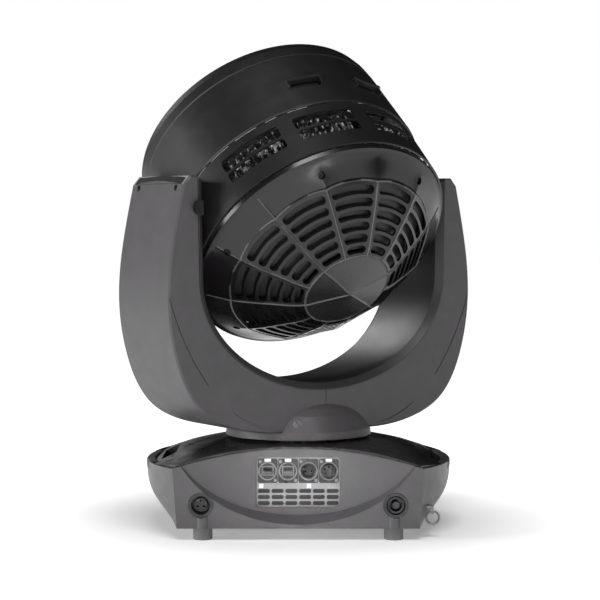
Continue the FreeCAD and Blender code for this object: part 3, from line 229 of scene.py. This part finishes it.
MATERIALS = {
    "yoke_plastic": grained(
        "yoke_plastic", (0.058, 0.055, 0.058), 0.50, 0.9, 0.22, spread=0.12, rough_spread=0.04
    ),
    "base_plastic": grained(
        "base_plastic", (0.078, 0.075, 0.078), 0.44, 0.9, 0.18, spread=0.12, rough_spread=0.04
    ),
    # the base's top cover: dark plastic, darkened further as painted shade from the yoke and head above it
    "cover_plastic": grained("cover_plastic", (0.016, 0.015, 0.016), 0.34, 0.9, 0.08),
    "barrel_plastic": grained(
        "barrel_plastic", (0.009, 0.008, 0.009), 0.42, 0.8, 0.04, spread=0.06, rough_spread=0.03, specular=0.8
    ),
    "band_plastic": grained(
        "band_plastic", (0.014, 0.013, 0.014), 0.36, 0.8, 0.02, spread=0.06, rough_spread=0.03
    ),
    "cap_plastic": grained(
        "cap_plastic", (0.009, 0.008, 0.009), 0.20, 0.35, 0.006, rough_spread=0.04, specular=0.42
    ),
    "frame_paint": grained(
        "frame_paint", (0.036, 0.034, 0.036), 0.40, 0.7, 0.08, spread=0.08, rough_spread=0.03, specular=0.35
    ),
    "plate_metal": grained("plate_metal", (0.27, 0.27, 0.275), 0.42, 0.5, 0.04, metallic=0.15),
    "bottom_metal": grained("bottom_metal", (0.12, 0.12, 0.12), 0.5, 0.7, 0.08, metallic=0.2),
    "connector_shell": grained("connector_shell", (0.02, 0.02, 0.021), 0.35, 0.5, 0.03),
    "tab_plastic": grained("tab_plastic", (0.78, 0.77, 0.75), 0.4, 0.6, 0.03, spread=0.05),
    "power_plastic": grained("power_plastic", (0.022, 0.022, 0.025), 0.4, 0.6, 0.04),
    "screw_steel": grained("screw_steel", (0.045, 0.045, 0.047), 0.45, 0.4, 0.02, metallic=0.8),
    "steel": brushed("steel", (0.22, 0.22, 0.225), 0.38),
    "aluminium_part": brushed("aluminium_part", (0.62, 0.62, 0.63), 0.38, (1, 1, 8)),
    # fins with painted glints and painted shade in their colour
    "fin_aluminium": glint_painted_metal("fin_aluminium", (0.80, 0.79, 0.78)),
    "foot_rubber": grained("foot_rubber", (0.15, 0.15, 0.155), 0.75, 0.7, 0.08),
    "belt_rubber": grained("belt_rubber", (0.02, 0.02, 0.02), 0.8, 0.5, 0.05, specular=0.08),
    "grip_rubber": grained("grip_rubber", (0.05, 0.05, 0.052), 0.65, 1.6, 0.35),
    "button_rubber": grained("button_rubber", (0.07, 0.07, 0.075), 0.6, 0.6, 0.04),
    "display_glass": grained(
        "display_glass", (0.012, 0.016, 0.022), 0.08, 0.6, 0.0, rough_spread=0.03, spread=0.3
    ),
    "front_clear": clear_material("front_clear", (0.93, 0.95, 0.96), 0.02),
    "lens_clear": clear_material("lens_clear", (0.92, 0.94, 0.95), 0.04),
    "led_board": grained("led_board", (0.70, 0.69, 0.62), 0.45, 0.6, 0.03),
    "fan_plastic": grained("fan_plastic", (0.014, 0.014, 0.014), 0.45, 0.7, 0.04, specular=0.3),
    "knob_plastic": grained("knob_plastic", (0.008, 0.008, 0.008), 0.28, 0.6, 0.02, specular=0.35),
}


# lighter finish on the tops of the ridges: a painted highlight
RIDGE_HIGHLIGHT_FINISH = grained("cap_ridge_painted_highlight", (0.075, 0.073, 0.075), 0.34, 0.35, 0.004, rough_spread=0.03)
HUB_FINISH = grained("cap_hub", (0.012, 0.011, 0.012), 0.26, 0.35, 0.006, rough_spread=0.03, specular=0.7)


# ------------------------------------------------------------------ mesh helpers
def make_object(name, bm, slot, body, matrix=None, bevel=None, smooth=35):
    """A finished piece from a bmesh, with its material, slot and body."""
    bmesh.ops.recalc_face_normals(bm, faces=bm.faces)
    mesh = bpy.data.meshes.new(name)
    bm.to_mesh(mesh)
    bm.free()
    if matrix:
        mesh.transform(matrix)
    piece = bpy.data.objects.new(name, mesh)
    bpy.context.scene.collection.objects.link(piece)
    mesh.materials.append(MATERIALS[slot])
    shade_smooth(piece, smooth)
    if bevel:
        add_bevel(piece, bevel)
    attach(piece, body)
    return piece


def shade_smooth(piece, angle):
    mesh = piece.data
    mesh.shade_smooth()
    mesh.set_sharp_from_angle(angle=math.radians(angle))


def add_bevel(piece, width_mm, segments=2, angle=40):
    bevel = piece.modifiers.new("bevel", "BEVEL")
    bevel.width = width_mm * MM
    bevel.segments = segments
    bevel.limit_method = "ANGLE"
    bevel.angle_limit = math.radians(angle)
    bevel.harden_normals = False
    return bevel


def ring_verts(bm, radius, height, count):
    verts = []
    for i in range(count):
        angle = 2 * math.pi * i / count
        x = radius * MM * math.cos(angle)
        y = radius * MM * math.sin(angle)
        verts.append(bm.verts.new((x, y, height * MM)))
    return verts


def bridge(bm, lower, upper):
    """Faces between two closed loops of the same number of points."""
    count = len(lower)
    for i in range(count):
        j = (i + 1) % count
        bm.faces.new((lower[i], lower[j], upper[j], upper[i]))


def add_lathe(bm, profile, count):
    """Closed ring turned about Z from a closed (radius, height) outline in mm."""
    loops = []
    for radius, height in profile:
        loops.append(ring_verts(bm, radius, height, count))
    for lower, upper in zip(loops, loops[1:] + loops[:1]):
        bridge(bm, lower, upper)


def smooth_profile(points, steps):
    """Points on a Catmull-Rom curve through the outline points."""
    padded = [points[0]] + list(points) + [points[-1]]
    result = []
    for p0, p1, p2, p3 in zip(padded, padded[1:], padded[2:], padded[3:]):
        for i in range(steps):
            t = i / steps
            point = []
            for a, b, c, d in zip(p0, p1, p2, p3):
                square = (2 * a - 5 * b + 4 * c - d) * t * t
                cube = (3 * b - a - 3 * c + d) * t ** 3
                value = 2 * b + (c - a) * t + square + cube
                point.append(value / 2)
            result.append(tuple(point))
    result.append(tuple(points[-1]))
    return result


# ------------------------------------------------------------------ rear cap
CAP_CURVE = smooth_profile(CAP_PROFILE, steps=14)


def cap_height(radius):
    """Height of the smooth dome at a radius, in mm."""
    for (r0, z0), (r1, z1) in zip(CAP_CURVE, CAP_CURVE[1:]):
        if r1 <= radius <= r0:
            return z0 + (z1 - z0) * (r0 - radius) / max(r0 - r1, 1e-6)
    return CAP_CURVE[0][1] if radius > CAP_CURVE[0][0] else CAP_CURVE[-1][1]


def hub_sector(azimuth):
    """(angle from the sector's middle, half of the sector) for the four facets of the hub."""
    edges = list(HUB_RIDGES) + [HUB_RIDGES[0] + 360]
    azimuth = azimuth % 360
    if azimuth < edges[0]:
        azimuth += 360
    for low, high in zip(edges, edges[1:]):
        if low <= azimuth <= high:
            return azimuth - (low + high) / 2, (high - low) / 2
    return 0.0, RIB_STEP / 2


def facet_height(radius, azimuth):
    """Height of the faceted dome: flat panels between the ribs, four panels on the hub."""
    off = (azimuth % RIB_STEP) - RIB_STEP / 2
    flat = math.cos(math.radians(off)) / math.cos(math.radians(RIB_STEP / 2))
    fade = min(1.0, max(0.0, (FLAT_FADE_R - radius) / FLAT_FADE))
    panel = cap_height(min(radius * (1 + (flat - 1) * fade), CAP_SHOULDER_R))
    if radius >= HUB_R:
        return panel
    off, half = hub_sector(azimuth)
    steep = math.cos(math.radians(off)) / math.cos(math.radians(half))
    apex = CAP_PROFILE[-1][1]
    drop = (cap_height(HUB_R) - apex) * radius / HUB_R
    return apex + drop * (1 + (steep - 1) * HUB_FLATNESS) - HUB_RAISE


def ridge_lift(radius, azimuth):
    """Height of the raised lines along the ribs and round the grille, in mm."""
    rim = RIM_RIDGE * max(0.0, 1 - abs(radius - RIM_RIDGE_R) / RIM_RIDGE_HALF)
    rim = max(rim, RIM_RIDGE * max(0.0, 1 - abs(radius - HUB_R - 0.6) / RIM_RIDGE_HALF))
    nearest = round(azimuth / RIB_STEP) * RIB_STEP
    distance = math.radians(abs(azimuth - nearest)) * radius
    on_hub = (nearest % 360) in HUB_RIDGES
    tall = on_hub or (nearest % 360) in LONG_RIDGES
    if radius < HUB_R and not on_hub:
        return rim
    if radius > (RIDGE_END_R if tall else RIM_RIDGE_R):
        return rim
    height = RIDGE_TALL if tall else RIDGE_LOW
    return max(rim, height * max(0.0, 1 - distance / RIDGE_HALF))


def cap_azimuths():
    """Fine steps on and beside each rib, coarser steps between."""
    return [rib * RIB_STEP + off for rib in range(RIB_COUNT) for off in RIB_OFFSETS]


def cap_surface(bm, depth):
    """Outer (depth 0) or inner surface as a polar grid; returns its rings from rim to centre."""
    radii = [CAP_EDGE[0]] + [r for r, _ in CAP_CURVE if r > 2.0]
    radii += [HUB_R + off for off in HUB_RING_OFFSETS]
    radii += [RIM_RIDGE_R + off for off in RIM_RING_OFFSETS]
    radii = sorted(set(radii), reverse=True)
    rings = []
    for radius in radii:
        ring = []
        for azimuth in cap_azimuths():
            angle = math.radians(-azimuth - CAP_TURN)
            if radius >= CAP_EDGE[0]:
                height = CAP_EDGE[1]
            else:
                height = facet_height(radius, azimuth)
                if depth == 0:
                    height -= ridge_lift(radius, azimuth)
            r = radius - (depth * SHELL_SHRINK if radius > SHRINK_FROM_R else 0)
            z = height + depth * (0.0 if radius >= CAP_EDGE[0] else SHELL_SINK)
            ring.append(bm.verts.new((r * MM * math.cos(angle), r * MM * math.sin(angle), z * MM)))
        rings.append(ring)
    return rings


def slot_outline(middle_radius, centre_azimuth):
    """Stadium outline of one grille slot, bent round the axis, as (radius, azimuth) pairs."""
    reach = math.radians(RIB_STEP / 2) * middle_radius - RIB_HALF - SLOT_HALF
    points = []
    for i in range(SLOT_STEPS + 1):
        points.append((SLOT_HALF, -reach + 2 * reach * i / SLOT_STEPS))
    for i in range(1, SLOT_END_STEPS):
        turn = math.pi / 2 - math.pi * i / SLOT_END_STEPS
        points.append((SLOT_HALF * math.sin(turn), reach + SLOT_HALF * math.cos(turn)))
    for i in range(SLOT_STEPS + 1):
        points.append((-SLOT_HALF, reach - 2 * reach * i / SLOT_STEPS))
    for i in range(1, SLOT_END_STEPS):
        turn = -math.pi / 2 + math.pi * i / SLOT_END_STEPS
        points.append((SLOT_HALF * math.sin(turn), -reach - SLOT_HALF * math.cos(turn)))
    return [(middle_radius + dr, centre_azimuth + math.degrees(arc / middle_radius)) for dr, arc in points]


def prism(bm, outline, low, high):
    """Closed prism along Z from a list of (x, y) in mm."""
    bottom = [bm.verts.new((x * MM, y * MM, low * MM)) for x, y in outline]
    top = [bm.verts.new((x * MM, y * MM, high * MM)) for x, y in outline]
    bm.faces.new(bottom)
    bm.faces.new(top[::-1])
    bridge(bm, bottom, top)


def polar(radius, azimuth):
    """Place in the cap's own pattern, which is turned a little against the tilt axis."""
    angle = -math.radians(azimuth + CAP_TURN)
    return radius * math.cos(angle), radius * math.sin(angle)


def slot_cutters():
    """Everything that is cut out of the cap: the grille's slots and the screw holes."""
    bm = bmesh.new()
    pitch = (SLOT_OUT - SLOT_IN) / SLOT_ROWS
    for sector in range(RIB_COUNT):
        centre = (sector + 0.5) * RIB_STEP
        for row in range(SLOT_ROWS):
            middle = SLOT_IN + pitch * (row + 0.5)
            outline = [polar(r, a) for r, a in slot_outline(middle, centre)]
            base = cap_height(middle)
            prism(bm, outline, base + SLOT_CUT[0], base + SLOT_CUT[1])
    for i in range(SCREW_COUNT):
        screw_hole(bm, 360 / SCREW_COUNT * i)
    return bm


def screw_frame(azimuth):
    """Matrix at a sunk screw: Z out of the cap."""
    x, y = polar(1.0, azimuth)
    out = Vector((x, y, 0))
    normal = (out * SCREW_SLOPE[0] + Vector((0, 0, SCREW_SLOPE[1]))).normalized()
    centre = out * SCREW_RING * MM + Vector((0, 0, SCREW_Z * MM))
    return Matrix.Translation(centre) @ normal.to_track_quat("Z", "Y").to_matrix().to_4x4()


def screw_hole(bm, azimuth):
    """Adds the cutter of one sunk screw's hole."""
    radius = SCREW_HOLE_R * MM
    length = SCREW_HOLE_LENGTH * MM
    made = bmesh.ops.create_cone(
        bm, cap_ends=True, segments=40, radius1=radius, radius2=radius, depth=length
    )
    bmesh.ops.transform(bm, matrix=screw_frame(azimuth), verts=made["verts"])


def difference(piece, cutter_mesh):
    """Cuts a mesh out of a piece and keeps the result as its mesh."""
    cutter = bpy.data.objects.new("cutter", cutter_mesh)
    bpy.context.scene.collection.objects.link(cutter)
    modifier = piece.modifiers.new("cut", "BOOLEAN")
    modifier.object = cutter
    modifier.solver = "EXACT"
    depsgraph = bpy.context.evaluated_depsgraph_get()
    result = bpy.data.meshes.new_from_object(piece.evaluated_get(depsgraph))
    piece.modifiers.clear()
    piece.data = result
    bpy.data.objects.remove(cutter)


def mesh_of(bm, name, matrix=None):
    """Mesh from a bmesh, moved by the matrix."""
    bmesh.ops.recalc_face_normals(bm, faces=bm.faces)
    mesh = bpy.data.meshes.new(name)
    bm.to_mesh(mesh)
    bm.free()
    if matrix:
        mesh.transform(matrix)
    return mesh


def cap_finish(centre):
    """Material index of a face of the cap: 0 main surface, 1 hub, 2 top of a ridge, painted lighter as a
    highlight.
    """
    radius = math.hypot(centre.x, centre.y) / MM
    azimuth = (-math.degrees(math.atan2(centre.y, centre.x)) - CAP_TURN) % 360
    outside = centre.z / MM < cap_height(min(radius, CAP_SHOULDER_R)) + CAP_SHELL * 2 / 3
    # the raised tops of the ridges take the painted highlight
    if outside and ridge_lift(radius, azimuth) > RIDGE_HIGHLIGHT_FROM:
        return 2
    return 1 if radius < HUB_R else 0


def build_rear_cap():
    """The rear cap with its slots, raised ribs and screw holes, in place of the CAD node."""
    bm = bmesh.new()
    outer = cap_surface(bm, 0.0)
    inner = cap_surface(bm, CAP_SHELL)
    apex = CAP_PROFILE[-1][1]
    for rings, tip in ((outer, apex - CENTRE_LIFT), (inner, apex + CAP_SHELL * SHELL_SINK)):
        for lower, upper in zip(rings, rings[1:]):
            bridge(bm, lower, upper)
        centre = bm.verts.new((0, 0, tip * MM))
        last = rings[-1]
        for i in range(len(last)):
            bm.faces.new((last[i], last[(i + 1) % len(last)], centre))
    bridge(bm, outer[0], inner[0])
    bmesh.ops.triangulate(bm, faces=bm.faces)
    piece = make_object("rear_cap_shell", bm, "cap_plastic", "head", None, None, 30)
    difference(piece, mesh_of(slot_cutters(), "slots"))
    piece.data.materials.append(HUB_FINISH)
    piece.data.materials.append(RIDGE_HIGHLIGHT_FINISH)
    for face in piece.data.polygons:
        face.material_index = cap_finish(face.center)
    piece.data.transform(HEAD @ Matrix.Translation((0, 0, CAP_SETBACK * MM)))
    shade_smooth(piece, 30)
    add_bevel(piece, 0.7, 2, 50)
    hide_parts("rear_cap")


def build_cap_louvres():
    """Sloping rings behind the rows of slots, and the dark filter under them."""
    bm = bmesh.new()
    pitch = (SLOT_OUT - SLOT_IN) / SLOT_ROWS
    for row in range(SLOT_ROWS):
        middle = SLOT_IN + pitch * (row + 0.5)
        height = cap_height(middle)
        inner = middle - SLOT_HALF - 0.5
        outer = middle + SLOT_HALF - 1.5
        profile = [
            (inner, height + LOUVRE_SHALLOW),
            (outer, height + LOUVRE_DEEP),
            (outer, height + LOUVRE_DEEP + 1.0),
            (inner, height + LOUVRE_SHALLOW + 1.0),
        ]
        add_lathe(bm, profile, 192)
    make_object("cap_louvres", bm, "fan_plastic", "head", HEAD)
    bm = bmesh.new()
    inner = (SLOT_IN - 2.0, cap_height(SLOT_IN) + FILTER_DEPTH)
    outer = (SLOT_OUT + 1.0, cap_height(SLOT_OUT) + FILTER_DEPTH)
    add_lathe(bm, [inner, outer, (outer[0], outer[1] + 2.0), (inner[0], inner[1] + 2.0)], 96)
    make_object("cap_filter", bm, "grip_rubber", "head", HEAD)


# ------------------------------------------------------------------ barrel and arm tops
HOOD_AZIMUTHS = (72.0, 104.5, 255.5, 288.0)
HOOD_BACKING = ((172.4, 34.0), (174.2, 34.0), (174.2, 54.0), (172.4, 54.0))   # radius, height
HOOD_BACKING_HALF = 9.5       # degrees
HOOD_STEPS = 8                # divisions along a backing strip
ARM_TOP_EDGE = (214.0, 435.6)  # top edge of the side faces: distance from the pan axis, height
ARM_TOP_END = (205.0, 446.6)   # upper end of the bevel above it
ARM_SIDE_SLOPE = (-15.0, 73.0)
ARM_TOP_HALF = 59.5
ARM_STEPS = 24                # divisions along the arch
ARCH_RISE = 5.0
ARCH_FACES = (-2.6, -0.05)    # back and front of the arch, out of the side face
SHADE_STRIP_FACES = (0.05, 0.55)   # back and front of the dark strip of painted shade, out of the bevel
SHADE_STRIP_LOW = 0.6
SHADE_STRIP_MARGIN = 3.0           # left bare at the strip's upper corners
SHADE_STRIP_RISE = 2.6


def build_hood_backings():
    """Dark curved strips inside the barrel, behind the four hooded holes."""
    bm = bmesh.new()
    for azimuth in HOOD_AZIMUTHS:
        loops = []
        for step in range(HOOD_STEPS + 1):
            angle = azimuth + HOOD_BACKING_HALF * (step / (HOOD_STEPS / 2) - 1)
            loop = []
            for radius, height in HOOD_BACKING:
                x, y = polar(radius, angle)
                loop.append(bm.verts.new((x * MM, y * MM, height * MM)))
            loops.append(loop)
        for lower, upper in zip(loops, loops[1:]):
            bridge(bm, lower, upper)
        bm.faces.new(loops[0])
        bm.faces.new(loops[-1])
    make_object("hood_backings", bm, "fan_plastic", "head", HEAD)


def arm_top_place(side, origin, direction):
    """Local X runs along the arm's depth, Y up along the given slope and Z outwards."""
    up = Vector((side * direction[0], 0, direction[1])).normalized()
    along = Vector((0, side, 0))
    outwards = along.cross(up)
    place = Matrix((along, up, outwards)).transposed().to_4x4()
    place.translation = Vector((side * origin[0] * MM, 0, origin[1] * MM))
    return YOKE @ place


def arch_height(x, rise):
    """Height of a shallow arch across the arm's depth."""
    return rise * (1 - (x / ARM_TOP_HALF) ** 2)


def build_arm_tops():
    """Arched top of each arm's side face, and a flat dark strip on the bevel behind it, painted shade standing in
    for a recess.
    """
    run = (ARM_TOP_END[0] - ARM_TOP_EDGE[0], ARM_TOP_END[1] - ARM_TOP_EDGE[1])
    length = math.hypot(*run)
    xs = [ARM_TOP_HALF * (i / (ARM_STEPS / 2) - 1) for i in range(ARM_STEPS + 1)]
    for name, side in (("left", -1), ("right", 1)):
        bm = bmesh.new()
        arch = [(x, arch_height(x, ARCH_RISE)) for x in xs]
        prism(bm, arch[::-1] + [(-ARM_TOP_HALF, -0.1), (ARM_TOP_HALF, -0.1)], *ARCH_FACES)
        place = arm_top_place(side, ARM_TOP_EDGE, ARM_SIDE_SLOPE)
        make_object("arm_arch_" + name, bm, "yoke_plastic", "yoke", place, 0.4)
        bm = bmesh.new()
        crest = [(x, length - SHADE_STRIP_MARGIN + arch_height(x, SHADE_STRIP_RISE)) for x in xs]
        prism(bm, crest[::-1] + [(-ARM_TOP_HALF, SHADE_STRIP_LOW), (ARM_TOP_HALF, SHADE_STRIP_LOW)], *SHADE_STRIP_FACES)
        place = arm_top_place(side, ARM_TOP_EDGE, run)
        # a thin near-black sheet: painted shade of a recess at the arm's top
        make_object("arm_painted_shade_" + name, bm, "belt_rubber", "yoke", place, 0.15)


# ------------------------------------------------------------------ connector panel
SOCKET_PITCH = 26.0
SOCKET_HEIGHT = 70.8         # above the part's origin
FLANGE_FACE_Y = -124.6       # front of the connector flanges
STRIP_LOW = 48.6
STRIP_HIGH = 54.2
STRIP_FACES = (0.05, 0.45)    # back and front of the strip, out of the plate
PLATE_FACE_Y = -123.0
VENT_HALF = 52.0             # the backing behind the vents: half its width, its edges and its depth
VENT_LOW = 25.5
VENT_HIGH = 48.0
VENT_BACKING = (-7.0, -6.0)
RIM_PROFILE = ((10.1, 1.2), (11.9, 1.2), (12.0, 1.7), (11.6, 2.2), (10.5, 2.2), (10.1, 1.8))
PORT_OUTER = ((-7.6, -5.6), (7.6, -5.6), (7.6, 6.2), (-7.6, 6.2))
PORT_INNER = ((-6.4, -4.6), (6.4, -4.6), (6.4, 5.1), (-6.4, 5.1))
PORT_FACES = (1.4, 1.8)
CONTACT_COUNT = 8
CONTACT_PITCH = 1.4
CONTACT_FIRST_X = -4.9
CONTACT_HALF = 0.35
CONTACT_SPAN = (-4.3, -1.0)
CONTACT_DEPTHS = (-9.0, -1.0)


def panel_matrix(x, y, z):
    """Stands a piece on the panel: its Z looks out of the front face."""
    return Matrix.Translation((x * MM, y * MM, z * MM)) @ Matrix.Rotation(math.pi / 2, 4, "X")


def rectangle(x0, x1, z0, z1):
    return [(x0, z0), (x1, z0), (x1, z1), (x0, z1)]


def build_socket_rims():
    """A bright ring round each of the four connectors."""
    for index in range(4):
        bm = bmesh.new()
        add_lathe(bm, RIM_PROFILE, 64)
        place = panel_matrix((index - 1.5) * SOCKET_PITCH, FLANGE_FACE_Y, SOCKET_HEIGHT)
        make_object("socket_rim_%d" % index, bm, "steel", "base", place, 0.15)


def build_port_frames():
    """Light surround of the two network ports, with its row of contacts."""
    for index in range(2):
        bm = bmesh.new()
        back, front = PORT_FACES
        loops = []
        for outline, depth in (
            (PORT_OUTER, back),
            (PORT_OUTER, front),
            (PORT_INNER, front),
            (PORT_INNER, back),
        ):
            loops.append([bm.verts.new((x * MM, z * MM, depth * MM)) for x, z in outline])
        for lower, upper in zip(loops, loops[1:] + loops[:1]):
            bridge(bm, lower, upper)
        for contact in range(CONTACT_COUNT):
            x = CONTACT_FIRST_X + CONTACT_PITCH * contact
            outline = rectangle(x - CONTACT_HALF, x + CONTACT_HALF, *CONTACT_SPAN)
            prism(bm, outline, *CONTACT_DEPTHS)
        place = panel_matrix((index - 1.5) * SOCKET_PITCH, FLANGE_FACE_Y, SOCKET_HEIGHT)
        make_object("port_frame_%d" % index, bm, "steel", "base", place)


def build_label_strip():
    """Plain blank strip under the connectors, with two small white tags."""
    for name, slot, spans in (
        ("blank_tags", "tab_plastic", ((-50.0, -44.5), (11.0, 16.5))),
        ("label_strip", "plate_metal", ((-42.5, 9.0), (18.5, 49.0))),
    ):
        bm = bmesh.new()
        for x0, x1 in spans:
            prism(bm, rectangle(x0, x1, STRIP_LOW, STRIP_HIGH), *STRIP_FACES)
        make_object(name, bm, slot, "base", panel_matrix(0, PLATE_FACE_Y, 0), 0.1)


def build_vent_backing():
    """Dark mesh behind the slots under the connectors."""
    bm = bmesh.new()
    prism(bm, rectangle(-VENT_HALF, VENT_HALF, VENT_LOW, VENT_HIGH), *VENT_BACKING)
    make_object("vent_backing", bm, "grip_rubber", "base", panel_matrix(0, PLATE_FACE_Y, 0))


# ------------------------------------------------------------------ CAD nodes that keep their shape
BEVELS = {
    "yoke_cover_left": 0.8,
    "yoke_cover_right": 0.8,
    "yoke_frame": 0.8,
    "hump_cover": 0.6,
    "base_shell": 0.6,
    "base_top_cover": 0.7,
    "front_barrel": 0.4,
    "vent_band": 0.5,
    "front_bezel": 0.5,
}


def finish_cad_nodes():
    """Gives every CAD node its slot's material and rounds the edges of the covers."""
    slots = {part["node"]: part["material_slot"] for part in frame["record"]["subparts"]}
    for name, piece in NODES.items():
        for index in range(len(piece.material_slots)):
            piece.material_slots[index].material = MATERIALS[slots[name]]
        if name in BEVELS:
            add_bevel(piece, BEVELS[name], 2, 35)


# ------------------------------------------------------------------ stage, light and camera
FLOOR_Z = -0.0154            # the feet stand this far below the part's origin, in metres
CAMERA_DISTANCE = 2.666
CAMERA_HEIGHT = 0.4023
CAMERA_X = 0.00224
CAMERA_PITCH = math.atan(89.0 / 2000.0)
CAMERA_LENS = 120.0
CAMERA_SENSOR = 36.0
FLOOR_HALF = 12.0
GLOW_START = 0.20            # the floor glows more with distance, so that it meets the backdrop; the lower glow near the object paints a shadow round it
GLOW_END = 0.48
GLOW_IN_PAINTED_SHADOW = 0.28
GLOW_FAR = 1.15
# softboxes: name, place, point it faces, size, power in watts
LIGHTS = (
    ("left_key", (-2.7, -0.7, 0.55), (0, 0, 0.25), (1.4, 1.3), 50),
    ("front_key", (-1.3, -3.4, 0.75), (0, 0, 0.25), (1.6, 1.0), 13),
    ("low_front", (0.85, -1.55, 0.14), (0.05, -0.2, 0.42), (0.7, 0.2), 2.2),
    ("high_front", (0.2, -1.7, 2.7), (0, 0, 0.3), (1.6, 0.9), 46),
)
# a softbox behind that is only seen as a sheen
SHEEN = ("back_left", (-1.9, 2.9, 2.1), (0, 0, 0.3), (1.6, 1.2), 48)

# a narrow soft beam on the connector panel
BASE_FILL = ("base_fill", (0.0, -1.9, 0.35), (0, -0.13, 0.058), (0.16, 0.05), 0.06)
BASE_FILL_SPREAD = math.radians(10.0)


def build_camera():
    data = bpy.data.cameras.new("camera")
    data.lens = CAMERA_LENS
    data.sensor_width = CAMERA_SENSOR
    camera = bpy.data.objects.new("camera", data)
    camera.location = (CAMERA_X, -CAMERA_DISTANCE, CAMERA_HEIGHT)
    camera.rotation_euler = (math.pi / 2 - CAMERA_PITCH, 0, 0)
    bpy.context.scene.collection.objects.link(camera)
    bpy.context.scene.camera = camera


def add_area(name, place, target, size, power):
    """Rectangular soft light at a place, turned to face a point."""
    data = bpy.data.lights.new(name, "AREA")
    data.shape = "RECTANGLE"
    data.size, data.size_y = size
    data.energy = power
    light = bpy.data.objects.new(name, data)
    light.location = place
    direction = Vector(target) - Vector(place)
    light.rotation_euler = direction.to_track_quat("-Z", "Y").to_euler()
    bpy.context.scene.collection.objects.link(light)
    return light


def build_floor():
    """Plain pale floor that glows more with distance and so melts into the backdrop; its dimmer glow near the
    object is a painted shadow.
    """
    bm = bmesh.new()
    bmesh.ops.create_grid(bm, x_segments=1, y_segments=1, size=FLOOR_HALF)
    floor = bpy.data.objects.new("floor", mesh_of(bm, "floor", Matrix.Translation((0, 0, FLOOR_Z))))
    bpy.context.scene.collection.objects.link(floor)
    material, tree, shader = new_material("floor")
    cloud = noise(tree, 3.0)
    colours = ramp(tree, cloud.outputs["Fac"], [(0.3, (0.90, 0.90, 0.90)), (0.7, (0.92, 0.92, 0.92))])
    tree.links.new(colours.outputs["Color"], shader.inputs["Base Color"])
    shader.inputs["Roughness"].default_value = 0.9
    shader.inputs["Specular IOR Level"].default_value = 0.1
    tree.links.new(colours.outputs["Color"], shader.inputs["Emission Color"])
    coords = tree.nodes.new("ShaderNodeTexCoord")
    reach = tree.nodes.new("ShaderNodeVectorMath")
    reach.operation = "LENGTH"
    tree.links.new(coords.outputs["Object"], reach.inputs[0])
    # less glow near the object: a painted shadow round it
    glow = tree.nodes.new("ShaderNodeMapRange")
    glow.inputs["From Min"].default_value = GLOW_START
    glow.inputs["From Max"].default_value = GLOW_END
    glow.inputs["To Min"].default_value = GLOW_IN_PAINTED_SHADOW
    glow.inputs["To Max"].default_value = GLOW_FAR
    tree.links.new(reach.outputs["Value"], glow.inputs["Value"])
    tree.links.new(glow.outputs["Result"], shader.inputs["Emission Strength"])
    floor.data.materials.append(material)


def build_world():
    """White backdrop that the camera sees and the light fixture doesn't mirror."""
    bpy.context.scene.view_settings.view_transform = "Standard"
    world = bpy.data.worlds.new("world")
    bpy.context.scene.world = world
    world.use_nodes = True
    background = world.node_tree.nodes["Background"]
    background.inputs["Color"].default_value = (1.0, 1.0, 1.0, 1.0)
    background.inputs["Strength"].default_value = 1.0
    world.cycles_visibility.diffuse = False
    world.cycles_visibility.glossy = False


def build_lights():
    for name, place, target, size, power in LIGHTS:
        add_area(name, place, target, size, power)
    sheen = add_area(*SHEEN)
    sheen.visible_diffuse = False
    fill = add_area(*BASE_FILL)
    fill.data.spread = BASE_FILL_SPREAD


build_camera()
build_world()
build_floor()
build_lights()
finish_cad_nodes()
build_rear_cap()
build_cap_louvres()
build_hood_backings()
build_arm_tops()
build_socket_rims()
build_port_frames()
build_label_strip()
build_vent_backing()
